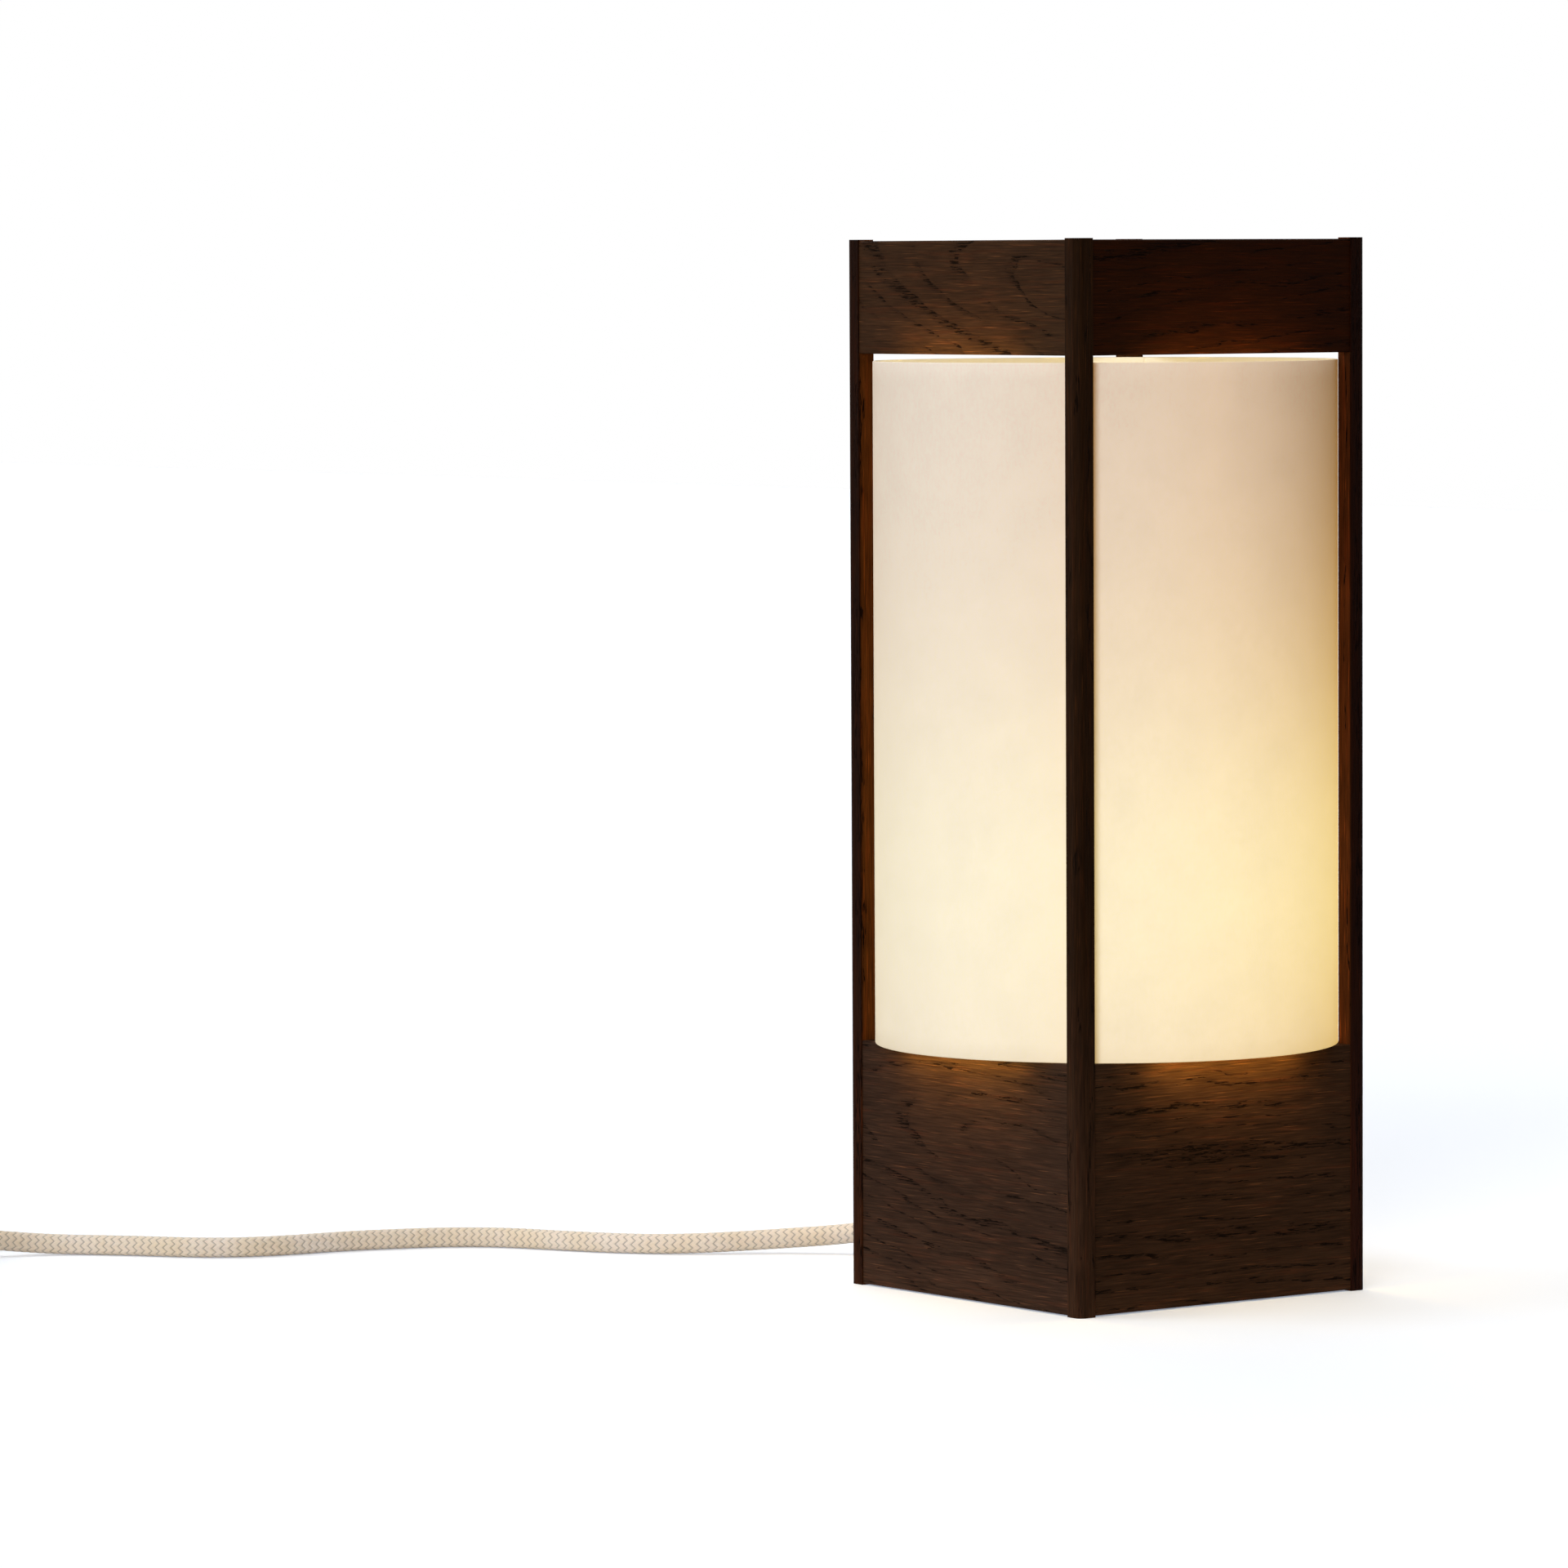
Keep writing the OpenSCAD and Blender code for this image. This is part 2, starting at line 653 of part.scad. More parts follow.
// Split collar with a screwed ear, which stops the cord from pulling out
module cord_stop() {
  color(cream) translate([0, stop_y, exit_z]) rotate([-90, 0, 0]) difference() {
    union() {
      cylinder(h = stop_l, r = stop_r);
      translate([-stop_ear_w / 2, -stop_r - stop_ear_h, 0]) cube([stop_ear_w, stop_ear_h + 3, stop_l]);
    }
    translate([0, 0, -1]) cylinder(h = stop_l + 2, r = cord_r + cord_fit);
    translate([-stop_slit / 2, -stop_r - stop_ear_h - 1, -1])
      cube([stop_slit, stop_r + stop_ear_h + 1, stop_l + 2]);
    translate([-stop_ear_w / 2 - 1, -stop_screw_rise, stop_l / 2]) rotate([0, 90, 0])
      cylinder(h = stop_ear_w + 2, r = stop_screw_r + screw_fit);
  }
}

module cord_stop_screw() {
  head_r = 2.4;
  head_t = 1.6;
  z = exit_z + stop_screw_rise;
  color(steel) translate([-stop_ear_w / 2, stop_y + stop_l / 2, z]) rotate([0, 90, 0]) {
    translate([0, 0, -eps]) cylinder(h = stop_ear_w + eps, r = stop_screw_r);
    translate([0, 0, -head_t]) cylinder(h = head_t, r = head_r);
  }
}

// A wire runs in, bends up and passes the threaded tube to its terminal
module wire(side) {
  straight_z = exit_z + wire_bend_r;
  translate([side * wire_x, 0, 0]) {
    translate([0, wire_bend_r, exit_z]) rotate([-90, 0, 0])
      cylinder(h = sleeve_y - wire_bend_r, r = wire_r);
    translate([0, wire_bend_r, straight_z]) rotate([0, 90, 0]) rotate([0, 0, -90])
      rotate_extrude(angle = 90) translate([wire_bend_r, 0]) circle(wire_r);
    translate([0, 0, straight_z]) cylinder(h = ledge_z - terminal_h - straight_z, r = wire_r);
  }
}

module wire_live() {
  color("#7a4a24") wire(-1);
}

module wire_neutral() {
  color("#2f5f9e") wire(1);
}

module lead_cord() {
  color(cotton) tube(lead_route, cord_r, 8);
}

// Plan of the switch: a lens with square ends
module switch_plan() {
  bow_h = (switch_w - switch_end_w) / 2;
  bow_r = ((switch_l / 2) ^ 2 + bow_h ^ 2) / (2 * bow_h);
  intersection() {
    square([switch_l, switch_w + 2], center = true);
    translate([0, bow_r - switch_w / 2]) circle(bow_r, $fn = 180);
    translate([0, switch_w / 2 - bow_r]) circle(bow_r, $fn = 180);
  }
}

module at_switch() {
  translate([switch_mid[0], switch_mid[1], 0]) children();
}

// The cord's bores in the two ends of the switch
module switch_bores() {
  for (side = [0, 180]) rotate([0, 0, side]) translate([switch_l / 2 - switch_bore, 0, switch_z])
    rotate([0, 90, 0]) cylinder(h = switch_bore + 1, r = switch_neck_r);
}

// Places a screw or its hole at each of the switch's two screws, head down
module each_switch_screw() {
  for (side = [-1, 1]) translate([side * switch_screw_x, 0, 0]) mirror([0, 0, 1]) children();
}

module switch_screw_holes() {
  each_switch_screw() screw_hole(switch_screw_l, switch_screw_r, switch_screw_head_r, screw_fit);
}

module switch_base() {
  color(cream) at_switch() difference() {
    linear_extrude(switch_split) switch_plan();
    switch_bores();
    switch_screw_holes();
  }
}

// The upper half has a crowned top, the rocker's window and the pivot's bores
module switch_cover() {
  crown_r = 120;
  slot_l = rocker_l + 4 * rocker_gap;
  slot_w = rocker_w + 2 * rocker_gap;
  color(cream) at_switch() difference() {
    intersection() {
      translate([0, 0, switch_split]) linear_extrude(switch_h - switch_split) switch_plan();
      translate([0, switch_w, switch_h - crown_r]) rotate([90, 0, 0])
        cylinder(h = 2 * switch_w, r = crown_r, $fn = 360);
    }
    switch_bores();
    translate([-slot_l / 2, -slot_w / 2, switch_h - pocket_depth]) cube([slot_l, slot_w, switch_h]);
    translate([0, -slot_w / 2 - pivot_stub - pivot_end_play, pivot_z]) rotate([-90, 0, 0])
      cylinder(h = slot_w + 2 * pivot_stub + 2 * pivot_end_play, r = pivot_r + pivot_fit);
    switch_screw_holes();
  }
}

// The rocker rests tilted to its ON side
module switch_rocker() {
  l = rocker_l / 2;
  crest = 3.4;
  rim = 3.2;
  dip = 2.2;
  edge = 0.8;
  belly = 3.4;
  belly_l = 4;
  pivot_l = rocker_w + 2 * rocker_gap + 2 * pivot_stub;
  color(cream) at_switch() translate([0, 0, pivot_z]) rotate([0, -rocker_tilt, 0]) {
    translate([0, rocker_w / 2, 0]) rotate([90, 0, 0]) linear_extrude(rocker_w) polygon([
      [-l, rim], [-l, -edge], [-belly_l, -belly], [belly_l, -belly], [l, -edge], [l, rim],
      [l - 1, crest], [0, dip], [1 - l, crest]
    ]);
    translate([0, -pivot_l / 2, 0]) rotate([-90, 0, 0]) cylinder(h = pivot_l, r = pivot_r);
  }
}

module switch_screws() {
  color(steel) at_switch() each_switch_screw()
    wood_screw(switch_screw_l, switch_screw_r, switch_screw_head_r);
}

module cord_coil() {
  color(cotton) tube(coil_route, cord_r, 6);
}

// Strap round the coil's bundle of turns, on the coil's front side
module coil_tie() {
  low = coil_out_r + cord_r + 0.3;
  high = coil_in_r - cord_r - 1.2;
  top = coil_low_z + coil_pitch + cord_r + 0.3;
  corner = 2;
  color(black) translate([coil_mid[0] - tie_w / 2, coil_mid[1] - low, 0]) rotate([90, 0, 90])
    linear_extrude(tie_w) difference() {
      round_box(low - high, top, corner, tie_t);
      round_box(low - high, top, corner, 0);
    }
}

// A rectangle from y = 0 and z = tie_t with round corners, grown outwards by a wall
module round_box(w, top, r, grow) {
  big = r + grow;
  h = top - tie_t;
  translate([-grow, tie_t + r]) square([w + 2 * grow, h - 2 * r]);
  translate([r, tie_t - grow]) square([w - 2 * r, h + 2 * grow]);
  for (x = [r, w - r], y = [tie_t + r, tie_t + h - r]) translate([x, y]) circle(big, $fn = 32);
}

// Plug body: the plan outline narrows to the cord and the sides thin towards it
module plug_body() {
  nose = 12;
  corner = 1.5;
  bevel = 1;
  flat_l = nose + 6;
  back_w = 13;
  back_t = 10;
  grip_r = 22;
  grip_depth = 6.5;
  half = plug_w / 2;
  mid = plug_t / 2;
  color(cream) translate([plug_x, plug_face, 0]) intersection() {
    linear_extrude(plug_t) difference() {
      polygon([[corner - half, 0], [half - corner, 0], [half, corner], [half, nose],
        [back_w / 2, plug_l], [-back_w / 2, plug_l], [-half, nose], [-half, corner]]);
      for (side = [-1, 1]) translate([side * (half + grip_r - grip_depth), plug_l * 0.72])
        circle(grip_r, $fn = 96);
    }
    translate([-plug_w, 0, 0]) rotate([90, 0, 90]) linear_extrude(2 * plug_w) polygon([
      [0, bevel], [bevel, 0], [flat_l, 0], [plug_l, mid - back_t / 2], [plug_l, mid + back_t / 2],
      [flat_l, plug_t], [bevel, plug_t], [0, plug_t - bevel]
    ]);
  }
}

// Ringed bend relief behind the plug, with a bore for the cord
module plug_boot() {
  rings = 3;
  root_r = 5.5;
  end_r = cord_r + 1.2;
  step = (boot_l - 3) / rings;
  outline = [for (k = [0:rings - 1])
    let (z = 1 + k * step, r = root_r + (end_r - root_r) * k / rings)
    each [[r, z], [r, z + step * 0.6], [r - 0.5, z + step * 0.62], [r - 0.5, z + step * 0.98]]];
  color(cream) translate([plug_x, plug_face + plug_l, plug_t / 2]) rotate([-90, 0, 0]) difference() {
    rotate_extrude()
      polygon(concat([[0, 0], [root_r, 0]], outline, [[end_r, boot_l - 1.5], [end_r, boot_l], [0, boot_l]]));
    translate([0, 0, boot_l - boot_bore]) cylinder(h = boot_bore + 1, r = cord_r + cord_fit);
  }
}

module plug_pins() {
  nose_h = 1;
  nose_r = pin_r - 0.7;
  color(steel) for (side = [-1, 1]) translate([plug_x + side * pin_space / 2, plug_face, plug_t / 2])
    rotate([90, 0, 0]) {
      cylinder(h = pin_l - nose_h, r = pin_r);
      translate([0, 0, pin_l - nose_h]) cylinder(h = nose_h, r1 = pin_r, r2 = nose_r);
    }
}

post(false, false);  // post_front_left
post(true, false);  // post_front_right
post(false, true);  // post_back_left
post(true, true);  // post_back_right
lower_panel(0);  // lower_panel_front
lower_panel(90);  // lower_panel_right
lower_panel_back();
lower_panel(270);  // lower_panel_left
upper_panel(0);  // upper_panel_front
upper_panel(90);  // upper_panel_right
upper_panel(180);  // upper_panel_back
upper_panel(270);  // upper_panel_left
shade();
base_board();
bottom_cover();
board_screws();
cover_screws();
corner_block(false, false);  // corner_block_front_left
corner_block(true, false);  // corner_block_front_right
corner_block(false, true);  // corner_block_back_left
corner_block(true, true);  // corner_block_back_right
nipple();
nipple_washer();
nipple_nut();
holder_cup();
holder_insert();
holder_terminals();
holder_shell();
holder_contact();
holder_skirt();
bulb_glass();
bulb_cap();
bulb_insulator();
bulb_tip();
strain_relief();
cord_inner();
cord_stop();
cord_stop_screw();
wire_live();
wire_neutral();
lead_cord();
switch_base();
switch_cover();
switch_rocker();
switch_screws();
cord_coil();
coil_tie();
plug_body();
plug_boot();
plug_pins();
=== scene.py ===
import json
import math

import bpy
import numpy as np
from mathutils import Matrix, Vector

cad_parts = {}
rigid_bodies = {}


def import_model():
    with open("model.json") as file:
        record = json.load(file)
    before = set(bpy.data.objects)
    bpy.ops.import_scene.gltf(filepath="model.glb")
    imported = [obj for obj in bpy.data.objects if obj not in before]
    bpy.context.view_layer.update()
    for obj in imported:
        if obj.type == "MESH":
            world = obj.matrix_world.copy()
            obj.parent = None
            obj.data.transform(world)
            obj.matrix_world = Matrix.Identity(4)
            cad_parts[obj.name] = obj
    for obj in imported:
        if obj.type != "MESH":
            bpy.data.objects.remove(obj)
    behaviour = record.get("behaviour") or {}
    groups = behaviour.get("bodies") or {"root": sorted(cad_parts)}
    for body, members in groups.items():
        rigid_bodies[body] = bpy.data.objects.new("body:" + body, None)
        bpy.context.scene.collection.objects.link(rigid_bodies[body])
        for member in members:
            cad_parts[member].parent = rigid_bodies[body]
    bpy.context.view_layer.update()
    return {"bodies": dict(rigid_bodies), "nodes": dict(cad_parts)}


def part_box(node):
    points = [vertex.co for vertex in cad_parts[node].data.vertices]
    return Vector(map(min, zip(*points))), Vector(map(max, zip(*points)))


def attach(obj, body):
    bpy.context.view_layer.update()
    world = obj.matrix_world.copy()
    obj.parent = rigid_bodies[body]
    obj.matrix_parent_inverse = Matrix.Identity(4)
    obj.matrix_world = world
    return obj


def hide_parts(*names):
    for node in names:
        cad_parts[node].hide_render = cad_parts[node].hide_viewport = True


# The andon table lamp, lit, on a white table
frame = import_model()

# Lengths are in metres, unless a name ends in _MM
MM = 0.001
THOUSAND = (1000, 1000, 1000)

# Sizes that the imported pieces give
shade_low, shade_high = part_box("shade")
SHADE_R = shade_high.x
SHADE_Z = (shade_low.z, shade_high.z)
PANEL_FACE = -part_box("lower_panel_front")[0].y
BULB_R = 30 * MM
BULB_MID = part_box("bulb_glass")[1].z - BULB_R

# The photograph's view: a long lens level with the lamp's top, with the front post turned to the left
LENS_MM = 190
SENSOR_MM = 36
CAMERA_PLACE = Vector((-1.7951, -2.2042, 0.3538))
CAMERA_AZIMUTH = math.radians(36.927)
CAMERA_PITCH = -0.0631
CAMERA_ROLL = -0.0048
CAMERA_SEES_TO = 50

# The cord, as the part has it
CORD_D = 7.2 * MM
LEAD_ROUTE = MM * np.array([
    (0, 88.75, 13), (0, 98, 13), (-2, 110, 11.5), (-7, 122, 9), (-16, 134, 6.9),
    (-27, 145, 5.6), (-40, 155, 4.6), (-54, 164, 4), (-67, 175, 3.7), (-78, 189, 3.7),
    (-87, 205, 3.7), (-96, 222, 3.7), (-110, 236, 3.7), (-128, 245, 3.7), (-147, 251, 3.7),
    (-167, 254, 3.7), (-185, 259, 3.7), (-200, 270, 3.7), (-212, 285, 3.7), (-224, 299, 3.7),
    (-238, 311, 4.2), (-254, 318, 5.9), (-268, 320, 7), (-276, 320, 7),
])
COIL_START = MM * np.array((-324, 320, 7))
COIL_BORE = 8 * MM
COIL_RUN = 30 * MM
COIL_IN_R = 29.3 * MM
COIL_PITCH = 7.8 * MM
COIL_TURNS = 5.25
COIL_SOFTEN = 0.1
COIL_LOW = 4.6 * MM
COIL_PER_TURN = 24
TAIL_FLAT = 10 * MM
TAIL_DROP = 30 * MM
TAIL_STRAIGHT = 9.2 * MM
TAIL_END_Z = 6.85 * MM

# The braid: its yarns lie in 16 columns that lean by turns, which makes eight rows of chevrons
BRAID_COLUMNS = 16
BRAID_PITCH = 2.85 * MM
BRAID_RELIEF = 0.22 * MM
YARN_POWER = 0.55
YARN_SIDE_DROP = 0.35
YARN_THREADS = 4

# The fineness of the two cords' meshes: rings in a pitch, and sides
LEAD_RINGS = 8
LEAD_SIDES = 48
COIL_RINGS = 6
COIL_SIDES = 32

# The tie: its tape, its lap, and the end that stands off a little
STRAP_THICK = 0.6 * MM
STRAP_CORNER = 2 * MM
STRAP_CORNER_POINTS = 9
STRAP_LAP = 21 * MM
STRAP_STEP = 0.5 * MM
STRAP_OVER = 1.15
STRAP_CLIMB = 6 * MM
STRAP_TIP = 8 * MM
STRAP_TIP_RISE = 1.2 * MM
STRAP_SIDES = 20

# The paper: its wall, the lap behind the back post, its swell between the posts, and its mesh
PAPER_WALL = 0.5 * MM
PAPER_LAP = 12 * MM
LAP_AZIMUTH = math.radians(45)
LAP_EASE = math.radians(8)
PAPER_SWELL = 0.1 * MM
PAPER_STEPS = 384
PAPER_ROWS = 40
RIM_ROWS = 3


def linear(code, alpha=1.0):
    """A hex colour as linear RGBA: v / 12.92 up to 0.04045, and ((v + 0.055) / 1.055) ** 2.4 above it."""
    values = [int(code[i:i + 2], 16) / 255 for i in (1, 3, 5)]
    return tuple(v / 12.92 if v <= 0.04045 else ((v + 0.055) / 1.055) ** 2.4 for v in values) + (alpha,)


def put(tree, kind, inputs=None, out=0, stops=None, **settings):
    """Adds one node and returns one of its outputs, if it has any. Inputs are values or other outputs."""
    made = tree.nodes.new("ShaderNode" + kind)
    for name, value in settings.items():
        setattr(made, name, value)
    for name, value in (inputs or {}).items():
        if isinstance(value, bpy.types.NodeSocket):
            tree.links.new(value, made.inputs[name])
        else:
            made.inputs[name].default_value = value
    if stops:
        ramp = made.color_ramp.elements
        while len(ramp) < len(stops):
            ramp.new(1.0)
        for element, (place, colour) in zip(ramp, stops):
            element.position = place
            element.color = colour
    return made.outputs[out] if made.outputs else None


def material(name, colour, roughness, **sockets):
    """Starts a material: one Principled shader with the values that are the same all over.

    A keyword names a socket of the shader, with _ for each space.
    """
    made = bpy.data.materials.new(name)
    made.use_nodes = True
    shader = made.node_tree.nodes["Principled BSDF"]
    shader.inputs["Base Color"].default_value = linear(colour)
    shader.inputs["Roughness"].default_value = roughness
    for socket, value in sockets.items():
        shader.inputs[socket.replace("_", " ")].default_value = value
    return made, made.node_tree, shader


def dress(made, *names):
    """Gives CAD nodes their material."""
    for name in names:
        for slot in frame["nodes"][name].material_slots:
            slot.material = made


def surface(name, points, wrap_rows=False, wrap_columns=False, caps=(), uv=None):
    """A mesh of four-cornered faces over a grid of points, turned so that its volume is positive.

    Face (i, j) has the corners (i, j), (i, j+1), (i+1, j+1) and (i+1, j). A wrapped direction joins its
    last points to its first. Caps are lists of corners, as places in the flattened grid.
    """
    rows, columns = points.shape[:2]
    index = np.arange(rows * columns).reshape(rows, columns)
    if wrap_rows:
        index = np.vstack([index, index[:1]])
    if wrap_columns:
        index = np.hstack([index, index[:, :1]])

    def corners(grid):
        return np.stack([grid[:-1, :-1], grid[:-1, 1:], grid[1:, 1:], grid[1:, :-1]], axis=2)

    quads = corners(index).reshape(-1, 4)
    flat = points.reshape(-1, 3)
    a, b, c, d = (flat[quads[:, k]] - flat[0] for k in range(4))
    volume = np.einsum("ij,ij->", a, np.cross(b, c)) + np.einsum("ij,ij->", a, np.cross(c, d))
    turn = slice(None, None, -1) if volume < 0 else slice(None)
    faces = quads[:, turn].tolist() + [list(cap)[turn] for cap in caps]
    mesh = bpy.data.meshes.new(name)
    mesh.from_pydata(flat.tolist(), [], faces)
    if uv is not None:
        places = corners(uv).reshape(-1, 4, 2)[:, turn].reshape(-1)
        loops = np.zeros(2 * len(mesh.loops))
        loops[:len(places)] = places
        mesh.uv_layers.new(name="surface").data.foreach_set("uv", loops)
    mesh.shade_smooth()
    piece = bpy.data.objects.new(name, mesh)
    bpy.context.scene.collection.objects.link(piece)
    return piece


def ease(s):
    """Goes from 0 to 1 with level ends: s * s * (3 - 2 * s)."""
    s = np.clip(s, 0.0, 1.0)
    return s * s * (3 - 2 * s)


def smooth_path(points, step):
    """A natural cubic spline through points, over the length of their chords, at even steps along itself.

    Between two knots a distance h apart, with s from 0 to 1, a point is the straight mix of the knots'
    values plus ((s^3 - s) * b + ((1-s)^3 - (1-s)) * a) * h^2 / 6, where a and b are the second
    derivatives at the knots, which are 0 at both ends and otherwise make the slope continuous.
    """
    knots = np.concatenate([[0], np.cumsum(np.linalg.norm(np.diff(points, axis=0), axis=1))])
    h = np.diff(knots)[:, None]
    slope = np.diff(points, axis=0) / h
    count = len(points)
    matrix = np.eye(count)
    inner = np.arange(1, count - 1)
    matrix[inner, inner - 1] = h[:-1, 0]
    matrix[inner, inner] = 2 * (h[:-1, 0] + h[1:, 0])
    matrix[inner, inner + 1] = h[1:, 0]
    known = np.zeros_like(points)
    known[1:-1] = 6 * np.diff(slope, axis=0)
    second = np.linalg.solve(matrix, known)

    def at(where):
        i = np.clip(np.searchsorted(knots, where, side="right") - 1, 0, count - 2)
        s = ((where - knots[i]) / h[i, 0])[:, None]
        bend = (s ** 3 - s) * second[i + 1] + ((1 - s) ** 3 - (1 - s)) * second[i]
        return (1 - s) * points[i] + s * points[i + 1] + bend * h[i] ** 2 / 6

    fine_per_knot = 20
    fine = np.linspace(0, knots[-1], fine_per_knot * count)
    along = np.concatenate([[0], np.cumsum(np.linalg.norm(np.diff(at(fine), axis=0), axis=1))])
    rings = int(round(along[-1] / step)) + 1
    return at(np.interp(np.linspace(0, along[-1], rings), along, fine))


def coil_path():
    """The coil's route, by the same rules as the part's source.

    After t turns the centreline is in_r + pitch * (sqrt((t - half)^2 + soften^2) - soften) from the axis,
    at 90 + 360 t degrees, and it climbs one pitch with ease in the half turn where the spiral reverses.
    """
    half = COIL_TURNS / 2

    def radius(t):
        return COIL_IN_R + COIL_PITCH * (np.sqrt((t - half) ** 2 + COIL_SOFTEN ** 2) - COIL_SOFTEN)

    out_r = radius(0)
    mid = COIL_START[:2] + np.array((-COIL_BORE - COIL_RUN, -out_r))
    run = np.linspace(0, 1, 5)[:-1, None]
    drop = COIL_START[2] + (COIL_LOW - COIL_START[2]) * ease(run)
    run_in = np.hstack([COIL_START[0] - COIL_BORE - COIL_RUN * run, np.full_like(run, COIL_START[1]), drop])
    t = np.arange(0, COIL_TURNS + 1e-9, 1 / COIL_PER_TURN)
    angle = np.pi / 2 + 2 * np.pi * t
    wound = np.stack([mid[0] + radius(t) * np.cos(angle), mid[1] + radius(t) * np.sin(angle),
                      COIL_LOW + COIL_PITCH * ease((t - half) / 0.5 + 0.5)], axis=1)
    top = COIL_LOW + COIL_PITCH
    s = np.linspace(0, 1, 5)[:, None]
    tail = np.hstack([np.full_like(s, mid[0] - out_r), mid[1] - TAIL_FLAT - TAIL_DROP * s,
                      top + (TAIL_END_Z - top) * ease(s)])
    end = tail[-1:] * (1, 1, 0) + np.array([(0, -TAIL_STRAIGHT, TAIL_END_Z)])
    return np.vstack([COIL_START[None], run_in, wound, tail, end])


def braided_tube(name, path, sides):
    """A braided sleeve along a path.

    Round the cord, column k leans one way where k is even and the other where it is odd, so the phase is
    length / pitch + 0.5 * (the distance from the last even column, folded back at each column). The yarns
    stand up as |sin(pi * phase)| ** 0.55, less 0.35 * (distance from the column's middle) ** 4.
    """
    ahead = np.gradient(path, axis=0)
    ahead /= np.linalg.norm(ahead, axis=1, keepdims=True)
    across = np.cross(ahead, (0, 0, 1))
    across /= np.linalg.norm(across, axis=1, keepdims=True)
    up = np.cross(across, ahead)
    length = np.concatenate([[0], np.cumsum(np.linalg.norm(np.diff(path, axis=0), axis=1))])[:, None]
    column = np.arange(sides)[None] * BRAID_COLUMNS / sides
    folded = 1 - np.abs(1 - column % 2)
    off_middle = np.abs(2 * (column % 1) - 1)
    ridge = np.abs(np.sin(np.pi * (length / BRAID_PITCH + 0.5 * folded))) ** YARN_POWER
    radius = CORD_D / 2 - BRAID_RELIEF * (1 - ridge * (1 - YARN_SIDE_DROP * off_middle ** 4))
    turn = 2 * np.pi * np.arange(sides) / sides
    points = (path[:, None] + radius[..., None] * (np.cos(turn)[:, None] * across[:, None]
                                                   + np.sin(turn)[:, None] * up[:, None]))
    uv = np.stack(np.broadcast_arrays(length / BRAID_PITCH, np.arange(sides + 1)[None] / sides), axis=2)
    last = (len(path) - 1) * sides
    caps = (range(sides - 1, -1, -1), range(last, last + sides))
    return surface(name, points, wrap_columns=True, caps=caps, uv=uv)


# Camera
camera_data = bpy.data.cameras.new("camera")
camera_data.lens = LENS_MM
camera_data.sensor_width = SENSOR_MM
camera_data.clip_end = CAMERA_SEES_TO
camera = bpy.data.objects.new("camera", camera_data)
bpy.context.scene.collection.objects.link(camera)
right = Vector((math.cos(CAMERA_AZIMUTH), -math.sin(CAMERA_AZIMUTH), 0))
forward = Vector((math.sin(CAMERA_AZIMUTH) * math.cos(CAMERA_PITCH),
                  math.cos(CAMERA_AZIMUTH) * math.cos(CAMERA_PITCH), math.sin(CAMERA_PITCH)))
up = right.cross(forward)
rolled_x = right * math.cos(CAMERA_ROLL) + up * math.sin(CAMERA_ROLL)
rolled_y = up * math.cos(CAMERA_ROLL) - right * math.sin(CAMERA_ROLL)
turned = Matrix((rolled_x, rolled_y, -forward)).transposed().to_4x4()
camera.matrix_world = Matrix.Translation(CAMERA_PLACE) @ turned
bpy.context.scene.camera = camera

# Cords: the lead to the switch, and the coil that the photograph doesn't show
lead_path = smooth_path(LEAD_ROUTE, BRAID_PITCH / LEAD_RINGS)
lead = braided_tube("lead_braid", lead_path, LEAD_SIDES)
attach(lead, "lamp")
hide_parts("lead_cord")
coil_line = smooth_path(coil_path(), BRAID_PITCH / COIL_RINGS)
coil = braided_tube("coil_braid", coil_line, COIL_SIDES)
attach(coil, "lamp")
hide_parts("cord_coil")


